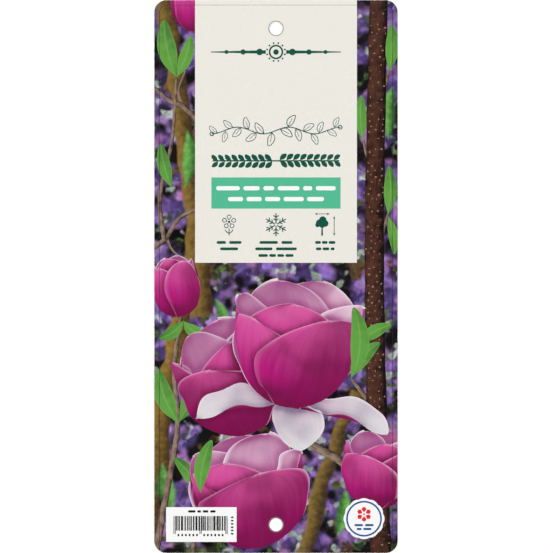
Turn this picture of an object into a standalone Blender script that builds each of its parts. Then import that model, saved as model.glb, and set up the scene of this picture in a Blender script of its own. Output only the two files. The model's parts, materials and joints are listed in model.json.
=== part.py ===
"""A printed plant label, lying on its back with the printed side up.

The label is one card, die-cut from polypropylene sheet: a tall rectangle with round
corners and a punched hole near each end, by which it hangs from a hook or a tie.
Sizes are metres. The origin is under the middle of the card, +X runs across it,
+Y runs towards its top end and +Z points out of the printed side.
"""

from math import cos, pi, sin

import bpy

OBJECT_NAME = "plant_label"

WIDTH = 0.110
HEIGHT = 0.250
THICKNESS = 0.0005
CORNER_RADIUS = 0.0055

HOLE_DIAMETER = 0.006
HOLE_FROM_END = 0.0128

CORNER_SEGMENTS = 10
HOLE_SEGMENTS = 48

CARD_COLOUR = (0.84, 0.82, 0.76, 1.0)
CARD_ROUGHNESS = 0.35


def clear_scene():
    """Remove every object that the scene starts with."""
    for item in list(bpy.data.objects):
        bpy.data.objects.remove(item, do_unlink=True)


def new_collection(name):
    """Add a collection to the scene and return it."""
    collection = bpy.data.collections.new(name)
    bpy.context.scene.collection.children.link(collection)
    return collection


def plastic(name, colour, roughness):
    """Return a plain plastic material."""
    material = bpy.data.materials.new(name)
    material.use_nodes = True
    surface = material.node_tree.nodes["Principled BSDF"]
    surface.inputs["Base Color"].default_value = colour
    surface.inputs["Roughness"].default_value = roughness
    surface.inputs["Metallic"].default_value = 0.0
    return material


def arc(centre_x, centre_y, radius, start, sweep, segments):
    """Return the points of an arc, both ends included. Angles are radians."""
    angles = [start + sweep * step / segments for step in range(segments + 1)]
    return [(centre_x + radius * cos(a), centre_y + radius * sin(a)) for a in angles]


def round_rectangle(width, height, radius, segments):
    """Return the outline of a rectangle with round corners, centred on the origin."""
    across = width / 2 - radius
    along = height / 2 - radius
    corners = ((across, along), (-across, along), (-across, -along), (across, -along))
    points = []
    for quarter, (x, y) in enumerate(corners):
        points += arc(x, y, radius, quarter * pi / 2, pi / 2, segments)
    return points


def circle(centre_x, centre_y, radius, segments):
    """Return the points of a circle, each one once."""
    return arc(centre_x, centre_y, radius, 0.0, 2 * pi, segments)[:-1]


def flat_piece(name, outlines, thickness, material, collection):
    """Make a flat piece that stands on Z = 0. Outlines inside the first one are holes."""
    curve = bpy.data.curves.new(name, "CURVE")
    curve.dimensions = "2D"
    curve.fill_mode = "BOTH"
    curve.extrude = thickness / 2
    for outline in outlines:
        spline = curve.splines.new("POLY")
        spline.points.add(len(outline) - 1)
        for point, (x, y) in zip(spline.points, outline):
            point.co = (x, y, 0.0, 1.0)
        spline.use_cyclic_u = True
    curve.materials.append(material)
    piece = bpy.data.objects.new(name, curve)
    piece.location.z = thickness / 2
    collection.objects.link(piece)
    return piece


def make_card(collection):
    """Make the card, with its two punched holes on the centre line."""
    material = plastic("card_polypropylene", CARD_COLOUR, CARD_ROUGHNESS)
    hole_y = HEIGHT / 2 - HOLE_FROM_END
    outlines = [round_rectangle(WIDTH, HEIGHT, CORNER_RADIUS, CORNER_SEGMENTS)]
    for end in (1, -1):
        outlines.append(circle(0.0, end * hole_y, HOLE_DIAMETER / 2, HOLE_SEGMENTS))
    return flat_piece("card", outlines, THICKNESS, material, collection)


def main():
    """Build the label."""
    clear_scene()
    collection = new_collection(OBJECT_NAME)
    make_card(collection)


main()
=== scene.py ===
"""Looks of a printed plant label that lies print up on a pale floor.

The label is one plastic card. What is printed on it is made as thin layers of ink that
stay inside the card's own thickness: a flower picture over the whole face, a cream panel
with plain ornament, a panel with bars and a round badge. Drawings are worked out in
millimetres on the card's face, from its centre.
"""

import json
import logging
from collections.abc import Sequence
from dataclasses import dataclass, field, replace
from enum import Enum, IntEnum
from math import cos, hypot, log2, pi, radians, sin
from typing import ClassVar

import bpy
import numpy as np
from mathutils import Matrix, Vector
from mathutils.geometry import delaunay_2d_cdt


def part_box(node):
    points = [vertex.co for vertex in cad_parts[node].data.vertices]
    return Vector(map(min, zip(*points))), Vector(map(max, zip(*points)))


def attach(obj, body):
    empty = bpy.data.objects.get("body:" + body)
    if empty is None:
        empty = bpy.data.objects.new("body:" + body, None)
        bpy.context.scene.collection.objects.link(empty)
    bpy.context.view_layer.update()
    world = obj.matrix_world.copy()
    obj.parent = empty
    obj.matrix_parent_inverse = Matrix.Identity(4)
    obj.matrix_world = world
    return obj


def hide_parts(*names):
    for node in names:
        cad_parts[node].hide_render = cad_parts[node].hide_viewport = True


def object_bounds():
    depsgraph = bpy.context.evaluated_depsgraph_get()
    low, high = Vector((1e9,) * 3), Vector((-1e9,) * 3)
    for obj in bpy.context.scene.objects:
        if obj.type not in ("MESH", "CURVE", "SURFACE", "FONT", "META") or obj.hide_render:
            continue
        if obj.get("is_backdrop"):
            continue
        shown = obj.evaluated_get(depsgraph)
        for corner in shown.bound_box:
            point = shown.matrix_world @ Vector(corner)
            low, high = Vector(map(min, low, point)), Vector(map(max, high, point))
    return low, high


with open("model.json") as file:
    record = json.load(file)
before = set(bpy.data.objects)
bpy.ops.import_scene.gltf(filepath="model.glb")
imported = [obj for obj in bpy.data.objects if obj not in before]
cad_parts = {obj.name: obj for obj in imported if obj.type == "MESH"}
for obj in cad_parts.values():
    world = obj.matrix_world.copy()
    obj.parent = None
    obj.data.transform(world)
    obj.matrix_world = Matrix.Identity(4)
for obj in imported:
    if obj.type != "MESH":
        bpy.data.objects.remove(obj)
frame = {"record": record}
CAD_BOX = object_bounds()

log = logging.getLogger("plant_label")

MM = 0.001
TURN = 2 * pi
EXPOSURE = 1.07
Point = tuple[float, float]
Colour = tuple[float, float, float, float]
Array = np.ndarray
Piece = bpy.types.Object


def srgb(red: int, green: int, blue: int) -> Colour:
    """Turn a display colour into the linear colour that shows so in the studio's light.

    Args:
        red: red from 0 to 255.
        green: green from 0 to 255.
        blue: blue from 0 to 255.

    Returns:
        The linear colour, with alpha 1.
    """
    parts = [value / 255 for value in (red, green, blue)]
    linear = [p / 12.92 if p <= 0.04045 else ((p + 0.055) / 1.055) ** 2.4 for p in parts]
    return (*(value / EXPOSURE for value in linear), 1.0)


class Field:
    """A socket of a node tree. Arithmetic with it adds Math nodes to that tree."""

    def __init__(self, graph: "Graph", socket: bpy.types.NodeSocket) -> None:
        """Keep the socket and the graph that it belongs to."""
        self.graph = graph
        self.socket = socket

    def other(self, output: str | int) -> "Field":
        """Return another output of the same node."""
        return Field(self.graph, self.socket.node.outputs[output])

    def __add__(self, value: "Number") -> "Field":
        """Return self + value."""
        return self.graph.math("ADD", self, value)

    __radd__ = __add__

    def __mul__(self, value: "Number") -> "Field":
        """Return self * value."""
        return self.graph.math("MULTIPLY", self, value)

    __rmul__ = __mul__

    def __sub__(self, value: "Number") -> "Field":
        """Return self - value."""
        return self.graph.math("SUBTRACT", self, value)

    def __rsub__(self, value: "Number") -> "Field":
        """Return value - self."""
        return self.graph.math("SUBTRACT", value, self)

    def __truediv__(self, value: "Number") -> "Field":
        """Return self / value."""
        return self.graph.math("DIVIDE", self, value)

    def __rtruediv__(self, value: "Number") -> "Field":
        """Return value / self."""
        return self.graph.math("DIVIDE", value, self)

    def __abs__(self) -> "Field":
        """Return the size of self without its sign."""
        return self.graph.math("ABSOLUTE", self)


Number = Field | float


class Graph:
    """A node tree that is written as expressions on its sockets."""

    def __init__(self, tree: bpy.types.NodeTree) -> None:
        """Keep the tree that nodes are added to."""
        self.tree = tree

    def add(self, kind: str, settings: dict | None = None,
            inputs: dict | None = None) -> bpy.types.Node:
        """Add a node, set it up and link it.

        Args:
            kind: the node's type name.
            settings: its properties by name.
            inputs: a value or a Field for each input, by name or number.

        Returns:
            The node.
        """
        made = self.tree.nodes.new(kind)
        for name, setting in (settings or {}).items():
            setattr(made, name, setting)
        for name, value in (inputs or {}).items():
            socket = made.inputs[name]
            if isinstance(value, Field):
                self.tree.links.new(value.socket, socket)
            else:
                socket.default_value = value
        return made

    def node(self, kind: str, settings: dict | None = None, inputs: dict | None = None,
             output: str | int = 0) -> Field:
        """Add a node as add does, and return one of its outputs as a Field."""
        return Field(self, self.add(kind, settings, inputs).outputs[output])

    def math(self, operation: str, *values: Number) -> Field:
        """Add a Math node for the operation on one, two or three values."""
        return self.node("ShaderNodeMath", {"operation": operation}, dict(enumerate(values)))

    def vector(self, x: Number, y: Number, z: Number = 0.0) -> Field:
        """Join three values to a vector."""
        return self.node("ShaderNodeCombineXYZ", None, {"X": x, "Y": y, "Z": z})

    def parts(self, vector: Field) -> tuple[Field, Field, Field]:
        """Return the X, Y and Z of a vector."""
        x = self.node("ShaderNodeSeparateXYZ", None, {"Vector": vector})
        return x, x.other("Y"), x.other("Z")

    def step(self, value: Field, low: Number, high: Number) -> Field:
        """Return a smooth rise from 0 where value is low to 1 where it is high."""
        inputs = {"Value": value, "From Min": low, "From Max": high}
        return self.node("ShaderNodeMapRange", {"interpolation_type": "SMOOTHSTEP"}, inputs)


@dataclass(frozen=True)
class Film:
    """The clear film over the print, or the bare face of the sheet.

    Args:
        roughness: mean roughness of the face.
        smear: how far the roughness strays from that.
        coat: weight of the glossy coat.
        coat_roughness: roughness of that coat.
        grain: size of the face's fine bumps, in millimetres.
        relief: their height, in millimetres.
    """

    roughness: float = 0.26
    smear: float = 0.05
    coat: float = 0.35
    coat_roughness: float = 0.12
    grain: float = 1.4
    relief: float = 0.004


GLOSS_FILM = Film()
SATIN_SHEET = Film(roughness=0.5, smear=0.12, coat=0.0, grain=0.5, relief=0.006)


class Paint(Graph):
    """The node tree of one material."""

    def __init__(self, name: str) -> None:
        """Start an empty material.

        Args:
            name: the material's name.
        """
        self.material = bpy.data.materials.new(name)
        self.material.use_nodes = True
        super().__init__(self.material.node_tree)
        self.tree.nodes.clear()

    def place(self) -> Field:
        """Return the place on the card, in millimetres from its centre."""
        inputs = {0: self.node("ShaderNodeTexCoord", output="Object"), "Scale": 1 / MM}
        return self.node("ShaderNodeVectorMath", {"operation": "SCALE"}, inputs)

    def stored(self, layer: str) -> tuple[Field, Field]:
        """Return the two values that a drawing stores in a layer of its corners."""
        settings = {"attribute_type": "GEOMETRY", "attribute_name": layer}
        return self.parts(self.node("ShaderNodeAttribute", settings, output="Vector"))[:2]

    def noise(self, vector: Field, size: float, detail: float = 2.0) -> Field:
        """Return soft noise from 0 to 1 whose lumps have about that size."""
        inputs = {"Vector": vector, "Scale": 1 / size, "Detail": detail}
        return self.node("ShaderNodeTexNoise", {"noise_dimensions": "3D"}, inputs, "Fac")

    def patches(self, vector: Field, size: float, seed: float) -> Field:
        """Return random colours in soft, swaying patches.

        Args:
            vector: the place.
            size: about the size of a patch.
            seed: picks the layout.

        Returns:
            The colours, each part from 0 to 1.
        """
        x, y, _ = self.parts(vector)
        sway_x = self.noise(self.vector(x, y, seed * 7.0), size * 0.7, 1.0) - 0.5
        sway_y = self.noise(self.vector(x, y, seed * 11.0), size * 0.7, 1.0) - 0.5
        flat = self.vector(x / size + sway_x * 1.6, y / size + sway_y * 1.6, seed)
        settings = {"voronoi_dimensions": "3D", "feature": "SMOOTH_F1"}
        inputs = {"Vector": flat, "Scale": 1.0, "Smoothness": 0.7}
        return self.node("ShaderNodeTexVoronoi", settings, inputs, "Color")

    def mix(self, factor: Number, first: Field | Colour, second: Field | Colour,
            blend: str = "MIX") -> Field:
        """Return two colours mixed, with the factor as the second one's share."""
        settings = {"data_type": "RGBA", "blend_type": blend}
        return self.node("ShaderNodeMix", settings, {0: factor, 6: first, 7: second}, 2)

    def shaded(self, colour: Field | Colour, strength: Field) -> Field:
        """Multiply a colour by a strength."""
        grey = self.node("ShaderNodeCombineColor", None, dict.fromkeys(range(3), strength))
        return self.mix(1.0, colour, grey, "MULTIPLY")

    def ramp(self, value: Field, stops: Sequence[tuple[float, Colour]]) -> Field:
        """Turn a value into a colour.

        Args:
            value: the value, from 0 to 1.
            stops: a place from 0 to 1 and a colour for each stop.

        Returns:
            The colour.
        """
        made = self.add("ShaderNodeValToRGB", None, {"Fac": value})
        elements = made.color_ramp.elements
        while len(elements) < len(stops):
            elements.new(1.0)
        for element, (place, colour) in zip(elements, stops):
            element.position, element.color = place, colour
        return Field(self, made.outputs["Color"])

    def finish(self, colour: Field, film: Film) -> bpy.types.Material:
        """Close the material with a Principled BSDF.

        Args:
            colour: the printed colour.
            film: the film that covers it.

        Returns:
            The finished material.
        """
        place = self.place()
        smear = self.noise(place, 17.0, 3.0) - 0.5
        fine = self.noise(place, film.grain, 2.0)
        bump = {"Height": fine * film.relief, "Distance": MM, "Strength": 1.0}
        inputs = {
            "Base Color": colour,
            "Roughness": smear * (4 * film.smear) + film.roughness,
            "Coat Weight": film.coat,
            "Coat Roughness": film.coat_roughness,
            "IOR": 1.49,
            "Normal": self.node("ShaderNodeBump", None, bump),
        }
        surface = self.node("ShaderNodeBsdfPrincipled", None, inputs)
        self.add("ShaderNodeOutputMaterial", None, {"Surface": surface})
        return self.material


GRAIN = "grain"
LIGHT = "light"
PRINT_MAP = "OFBake"


@dataclass(frozen=True)
class Finish:
    """A printed or bare surface. Each kind of finish says how its colour is made.

    Args:
        name: the material's name.
        slot: the name of the record's material slot that it would belong to; it is not used.
        film: the film that covers it.
        made: the finishes that have a material by now, by name.
    """

    name: str
    slot: str = "picture_print"
    film: Film = GLOSS_FILM
    made: ClassVar[dict[str, "Finish"]] = {}

    def colour(self, paint: Paint) -> Field:
        """Return the surface's colour as a Field of the material's tree."""
        raise NotImplementedError

    def material(self) -> bpy.types.Material:
        """Make the material at the first call.

        Returns:
            The material.
        """
        if self.name not in self.made:
            self.made[self.name] = self
            paint = Paint(self.name)
            paint.finish(self.colour(paint), self.film)
        return bpy.data.materials[self.name]


@dataclass(frozen=True, kw_only=True)
class FlatInk(Finish):
    """Ink of one colour, with the faint unevenness of a print.

    Args:
        base: the ink's colour.
        mottle: how far its strength strays, as a share.
    """

    base: Colour
    mottle: float = 0.05

    def colour(self, paint: Paint) -> Field:
        """Work out the ink's colour.

        Args:
            paint: the material's tree.

        Returns:
            The ink's colour, a little uneven.
        """
        place = paint.place()
        uneven = paint.noise(place, 0.4, 1.0) + paint.noise(place, 12.0, 3.0)
        return paint.shaded(self.base, uneven * self.mottle + (1 - self.mottle))


@dataclass(frozen=True)
class Drift:
    """One layer of soft, ragged masses, as blossom looks that is far out of focus.

    Args:
        size: size of the masses, in millimetres.
        cover: share of the ground that they cover.
        edge: softness of their edge.
        seed: picks the layout.
        colours: the colours that run through them.
        petal: size of the patches of one colour.
    """

    size: float
    cover: float
    edge: float
    seed: float
    colours: tuple[Colour, ...]
    petal: float

    def lay(self, paint: Paint, place: Field, ground: Field) -> Field:
        """Lay the masses on a ground.

        Args:
            paint: the material's tree.
            place: the place on the card.
            ground: the colour below them.

        Returns:
            The colour with the masses on it.
        """
        x, y, _ = paint.parts(place)
        mass = paint.noise(paint.vector(x, y, self.seed * self.size), self.size, 1.6)
        bound = 0.5 + (0.5 - self.cover) * 0.42
        shown = paint.step(mass, bound - self.edge, bound + self.edge)
        tone, depth, _ = paint.parts(paint.patches(place, self.petal, self.seed))
        last = max(len(self.colours) - 1, 1)
        stops = [(0.2 + 0.6 * number / last, colour) for number, colour in enumerate(self.colours)]
        lit = paint.shaded(paint.ramp(tone, stops), depth * 0.7 + 0.62)
        return paint.mix(shown, ground, lit)


@dataclass(frozen=True)
class BlurredLimb:
    """A stem or branch in the picture's far ground, out of focus.

    Args:
        foot: where it starts, in millimetres.
        tip: where it ends.
        widths: its width at foot and tip.
        bow: how far its middle bows to the left of the line from foot to tip.
        blur: width of its soft edge.
        light: colour of its lit side.
        shade: colour of its shaded side.
    """

    foot: Point
    tip: Point
    widths: tuple[float, float]
    bow: float
    blur: float
    light: Colour
    shade: Colour

    def half_width(self, along: Field) -> Field:
        """Return half its width at a share of its length from foot to tip."""
        foot_half, tip_half = self.widths[0] / 2, self.widths[1] / 2
        return along * (tip_half - foot_half) + foot_half

    def lay(self, paint: Paint, place: Field, ground: Field) -> Field:
        """Lay the limb on a ground.

        Args:
            paint: the material's tree.
            place: the place on the card.
            ground: the colour behind the limb.

        Returns:
            The colour with the limb on it.
        """
        x, y, _ = paint.parts(place)
        run_x, run_y = self.tip[0] - self.foot[0], self.tip[1] - self.foot[1]
        length = hypot(run_x, run_y)
        right, up = (x - self.foot[0]) / length, (y - self.foot[1]) / length
        along = right * (run_x / length) + up * (run_y / length)
        across = right * -run_y + up * run_x
        across = across - along * (1.0 - along) * (4 * self.bow)
        across = across + (paint.noise(place, 15.0, 1.0) - 0.5) * (self.widths[0] * 0.7)
        half = self.half_width(along)
        inside = 1.0 - paint.step(abs(across), half - self.blur, half + self.blur)
        ends = paint.step(along, -0.01, 0.01) * (1.0 - paint.step(along, 0.99, 1.01))
        bark = paint.noise(place, 2.6, 4.0) * 1.8 - 0.9
        side = paint.step(across / half + bark, -1.1, 1.1)
        return paint.mix(inside * ends, ground, paint.mix(side, self.shade, self.light))


@dataclass(frozen=True)
class BlurredLeaf(BlurredLimb):
    """A leaf in the picture's far ground, pointed at both ends and out of focus."""

    def half_width(self, along: Field) -> Field:
        """Return half its width, which is full at the middle of its length."""
        return along * (1.0 - along) * (2 * self.widths[0])


@dataclass(frozen=True, kw_only=True)
class BlurredGarden(Finish):
    """The picture's far ground: soft spots of blossom between dark gaps and limbs.

    Args:
        layers: the spots and limbs, from the furthest to the nearest.
    """

    layers: tuple[Drift | BlurredLimb, ...]

    def colour(self, paint: Paint) -> Field:
        """Work out the far ground's colour.

        Args:
            paint: the material's tree.

        Returns:
            The far ground's colour.
        """
        place = paint.place()
        lumps = paint.noise(place, 4.0, 4.0)
        stops = ((0.3, srgb(5, 4, 7)), (0.55, srgb(26, 20, 30)), (0.8, srgb(66, 56, 68)))
        ground = paint.ramp(lumps, stops)
        for layer in self.layers:
            ground = layer.lay(paint, place, ground)
        dapple = paint.noise(place, 2.4, 1.5) * 0.9 + 0.55
        return paint.shaded(ground, dapple)


@dataclass(frozen=True, kw_only=True)
class PetalInk(Finish):
    """A printed petal: a colour that runs from foot to tip, with veins, shade and rim.

    Args:
        foot: colour at the petal's foot.
        middle: colour at its middle.
        tip: colour at its tip.
        deep: colour of its darkest shade.
        rim: colour of its thin lit edge.
        veins: strength of its veins.
    """

    foot: Colour
    middle: Colour
    tip: Colour
    deep: Colour
    rim: Colour
    veins: float

    def colour(self, paint: Paint) -> Field:
        """Work out the petal's colour.

        Args:
            paint: the material's tree.

        Returns:
            The petal's colour.
        """
        across, along = paint.stored(GRAIN)
        shade, rim = paint.stored(LIGHT)
        fine = paint.noise(paint.vector(across * 9.0, along * 1.1), 1.0, 4.0)
        broad = paint.noise(paint.vector(across * 2.2, along * 0.8, 5.0), 1.0, 2.0)
        tone = along + (fine - 0.5) * self.veins + (broad - 0.5) * 0.35
        stops = ((0.04, self.foot), (0.5, self.middle), (0.96, self.tip))
        lit = paint.ramp(tone, stops)
        depth = shade + (fine - 0.5) * (self.veins * 0.4)
        body = paint.mix(paint.step(depth, 0.05, 0.8), self.deep, lit)
        flush = paint.step(paint.noise(paint.place(), 16.0, 1.0), 0.46, 0.72) * 0.45
        body = paint.mix(flush, body, self.deep)
        sheen = paint.step(shade, 0.72, 1.1) * 0.3
        shown = rim * paint.step(broad, 0.25, 0.55) * 0.85
        return paint.mix(shown, paint.mix(sheen, body, self.rim), self.rim)


@dataclass(frozen=True, kw_only=True)
class LeafInk(Finish):
    """A printed leaf with a pale midrib and slanting side veins.

    Args:
        light: colour where it is lit.
        deep: colour where it is shaded.
        rib: colour of its midrib and rim.
    """

    light: Colour
    deep: Colour
    rib: Colour

    def colour(self, paint: Paint) -> Field:
        """Work out the leaf's colour.

        Args:
            paint: the material's tree.

        Returns:
            The leaf's colour.
        """
        across, along = paint.stored(GRAIN)
        shade, rim = paint.stored(LIGHT)
        size = abs(across)
        wave = paint.math("SINE", (along * 1.5 - size * 0.45) * (TURN * 7))
        side_veins = paint.step(wave, 0.6, 1.0) * (1.0 - size) * 0.14
        drift = paint.noise(paint.place(), 3.0, 2.0) - 0.5
        body = paint.mix(paint.step(shade + drift * 0.5, 0.05, 0.95), self.deep, self.light)
        midrib = (1.0 - paint.step(size, 0.02, 0.16)) * 0.4
        return paint.mix(midrib + side_veins + rim * 0.25, body, self.rib)


@dataclass(frozen=True, kw_only=True)
class BarkInk(Finish):
    """Printed bark: streaks along a stem between a dark and a light colour.

    Args:
        light: colour of the lit ridges.
        deep: colour of the shaded side.
    """

    light: Colour
    deep: Colour

    def colour(self, paint: Paint) -> Field:
        """Work out the bark's colour.

        Args:
            paint: the material's tree.

        Returns:
            The bark's colour.
        """
        across, along = paint.stored(GRAIN)
        shade, _ = paint.stored(LIGHT)
        streaks = paint.noise(paint.vector(across * 2.2, along * 0.2), 1.0, 4.0)
        blotches = paint.noise(paint.place(), 3.4, 3.0)
        tone = shade + (streaks - 0.5) * 1.2 + (blotches - 0.5) * 1.5
        return paint.mix(paint.step(tone, 0.0, 1.1), self.deep, self.light)


VIOLETS = (srgb(74, 56, 112), srgb(122, 96, 168), srgb(148, 108, 174), srgb(102, 78, 146))
LILACS = (srgb(166, 134, 190), srgb(130, 104, 172), srgb(182, 110, 166), srgb(148, 124, 182))
PALES = (srgb(200, 200, 206), srgb(140, 152, 148), srgb(160, 176, 158))
MOSSES = (srgb(44, 54, 32), srgb(92, 108, 54), srgb(40, 62, 42))
DARKS = (srgb(5, 3, 5), srgb(20, 13, 17), srgb(8, 10, 8))
EARTHS = (srgb(72, 48, 38), srgb(110, 84, 52), srgb(52, 36, 34))

PETAL_OUTSIDE = PetalInk(
    "petal_outside", foot=srgb(140, 18, 82), middle=srgb(190, 26, 128),
    tip=srgb(214, 86, 158), deep=srgb(112, 8, 66), rim=srgb(222, 172, 202), veins=0.4)
PETAL_INSIDE = PetalInk(
    "petal_inside", foot=srgb(198, 66, 144), middle=srgb(214, 136, 182),
    tip=srgb(228, 194, 214), deep=srgb(158, 74, 130), rim=srgb(238, 226, 234), veins=0.26)
YOUNG_LEAF = LeafInk("young_leaf", light=srgb(98, 160, 66), deep=srgb(42, 92, 40),
                     rib=srgb(138, 186, 104))
TRUNK_BARK = BarkInk("trunk_bark", light=srgb(86, 51, 38), deep=srgb(14, 7, 6))
TWIG_BARK = BarkInk("twig_bark", light=srgb(154, 130, 112), deep=srgb(54, 41, 40))
SPECK_INK = FlatInk("speck_ink", base=srgb(150, 112, 94), mottle=0.12)
CREAM_INK = FlatInk("cream_ink", "cream_print", base=srgb(236, 233, 224), mottle=0.007)
WHITE_INK = FlatInk("white_ink", "cream_print", base=srgb(250, 250, 249), mottle=0.012)
MINT_INK = FlatInk("mint_ink", "green_print", base=srgb(84, 188, 149), mottle=0.02)
GREEN_INK = FlatInk("deep_green_ink", "dark_ink", base=srgb(16, 84, 66))
BLACK_INK = FlatInk("black_ink", "dark_ink", base=srgb(28, 27, 30))
GREY_INK = FlatInk("grey_ink", "dark_ink", base=srgb(128, 134, 122))
SHADOW_INK = FlatInk("shadow_ink", "dark_ink", base=srgb(52, 44, 52))
BLUE_INK = FlatInk("blue_ink", "dark_ink", base=srgb(24, 84, 148), mottle=0.04)
RED_INK = FlatInk("red_ink", "dark_ink", base=srgb(222, 44, 52), mottle=0.04)
BARE_SHEET = FlatInk("bare_sheet", "card", SATIN_SHEET, base=srgb(240, 240, 236), mottle=0.02)


CARD_LOW, CARD_HIGH = (Vector(corner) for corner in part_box("card"))
LAYER_STEP = 0.014 * MM


class Level(IntEnum):
    """The printed layers, counted up from the bare sheet to the card's face."""

    SHEET = 0
    PICTURE = 1
    TRUNK = 2
    SPECKS = 3
    TWIGS = 4
    LEAVES = 5
    BLOOMS = 6
    FRONT_LEAVES = 7
    PANEL = 8
    BAND = 9
    INK = 10

    @property
    def height(self) -> float:
        """The height of the layer's top, in metres."""
        return CARD_HIGH.z - (Level.INK - self) * LAYER_STEP


def span(base: Level, level: Level) -> dict[str, float]:
    """Return where ink from one layer to another starts and ends, in millimetres."""
    return {"Low": base.height / MM, "High": level.height / MM}


HALF_WIDTH = CARD_HIGH.x / MM
HALF_HEIGHT = CARD_HIGH.y / MM
OPENINGS = [opening["box_m"] for opening in frame["record"]["physics"]["openings"]]
HOLES = [((low[0] + high[0]) / 2 / MM, (low[1] + high[1]) / 2 / MM) for low, high in OPENINGS]
CORNER_RADIUS = 5.5
HOLE_RADIUS = 3.0
ROUNDED_STEPS = 10
MERGE_DISTANCE = 1e-5
LEAST_AREA = 1e-7
SLIVER_AREA = 1e-3
FEWEST_TRIANGLES = 4
MAP_MARGIN = 0.01
SHADOW_REACH = 6.0
SHADOW_SOFTNESS = 2.4
SHADOW_DEPTH = 0.5


def arc(centre: Point, radius: float, start: float, sweep: float, steps: int) -> Array:
    """Return the points of an arc from a start angle in degrees, both ends included."""
    angles = np.radians(start + sweep * np.linspace(0.0, 1.0, steps + 1))
    return np.column_stack((np.cos(angles), np.sin(angles))) * radius + centre


def circle(centre: Point, radius: float, steps: int = 48) -> Array:
    """Return the points of a circle, each one once."""
    return arc(centre, radius, 0.0, 360.0, steps)[:-1]


def rectangle(left: float, right: float, low: float, high: float,
              radius: float = 0.0) -> Array:
    """Return the outline of a rectangle.

    Args:
        left: its least X.
        right: its greatest X.
        low: its least Y.
        high: its greatest Y.
        radius: radius of its corners, or 0 for square ones.

    Returns:
        The points, anticlockwise.
    """
    if radius == 0:
        return np.array([(left, low), (right, low), (right, high), (left, high)])
    corners = ((right, high), (left, high), (left, low), (right, low))
    inward = ((-1, -1), (1, -1), (1, 1), (-1, 1))
    quarters = []
    for turn, (corner, way) in enumerate(zip(corners, inward)):
        middle = (corner[0] + way[0] * radius, corner[1] + way[1] * radius)
        quarters.append(arc(middle, radius, 90.0 * turn, 90.0, ROUNDED_STEPS))
    return np.vstack(quarters)


def smooth_path(points: Sequence[Point], steps: int) -> Array:
    """Draw a smooth curve through points.

    Args:
        points: the points that it passes.
        steps: number of its chords between two of them.

    Returns:
        The curve's points, one a row.
    """
    given = np.array(points, float)
    ends = 2 * given[0] - given[1], 2 * given[-1] - given[-2]
    all_points = np.vstack((ends[0], given, ends[1]))
    share = np.linspace(0.0, 1.0, steps, endpoint=False)[:, None]
    runs = []
    for before, first, second, after in zip(all_points, all_points[1:], all_points[2:],
                                            all_points[3:]):
        bend = 2 * before - 5 * first + 4 * second - after
        twist = 3 * first - before - 3 * second + after
        runs.append(first + (share * (second - before) + share**2 * bend + share**3 * twist) / 2)
    return np.vstack((*runs, given[-1:]))


def unit(vectors: Array) -> Array:
    """Return vectors brought to length 1."""
    return vectors / np.maximum(np.linalg.norm(vectors, axis=-1, keepdims=True), 1e-9)


def sideways(path: Array) -> Array:
    """Return the unit vector to the left of a path at each of its points."""
    along = unit(np.gradient(path, axis=0))
    return np.column_stack((-along[:, 1], along[:, 0]))


CARD_OUTLINE = rectangle(-HALF_WIDTH, HALF_WIDTH, -HALF_HEIGHT, HALF_HEIGHT, CORNER_RADIUS)
HOLE_OUTLINES = [circle(centre, HOLE_RADIUS) for centre in HOLES]


def signed_area(outline: Array) -> float:
    """Return the area of a closed outline, negative where it runs clockwise."""
    after = np.roll(outline, -1, axis=0)
    return float((outline[:, 0] * after[:, 1] - after[:, 0] * outline[:, 1]).sum() / 2)


def outer_edges(triangles: Array) -> list[tuple[int, int]]:
    """Return the directed edges that only one triangle has."""
    edges = {(int(t[i]), int(t[(i + 1) % 3])) for t in triangles for i in range(3)}
    return [edge for edge in edges if (edge[1], edge[0]) not in edges]


def lies_inside(outline: Array, points: Array) -> Array:
    """Find the points inside a closed outline.

    Args:
        outline: the closed outline.
        points: the points, one a row.

    Returns:
        A truth value for each point.
    """
    start, end = outline[None], np.roll(outline, -1, axis=0)[None]
    x, y = points[:, None, 0], points[:, None, 1]
    crosses = (start[..., 1] > y) != (end[..., 1] > y)
    rise = np.where(crosses, end[..., 1] - start[..., 1], 1.0)
    meets = start[..., 0] + (end[..., 0] - start[..., 0]) * (y - start[..., 1]) / rise
    return (crosses & (x < meets)).sum(1) % 2 == 1


def distance_to(outline: Array, points: Array) -> Array:
    """Measure how far points lie outside a closed outline.

    Args:
        outline: the closed outline.
        points: the points, one a row.

    Returns:
        The distance of each point, which is 0 inside.
    """
    start, end = outline[None], np.roll(outline, -1, axis=0)[None]
    run, reach = end - start, points[:, None] - start
    share = np.clip((reach * run).sum(2) / np.maximum((run**2).sum(2), 1e-12), 0, 1)
    gaps = np.linalg.norm(reach - share[..., None] * run, axis=2).min(1)
    return np.where(lies_inside(outline, points), 0.0, gaps)


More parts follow.
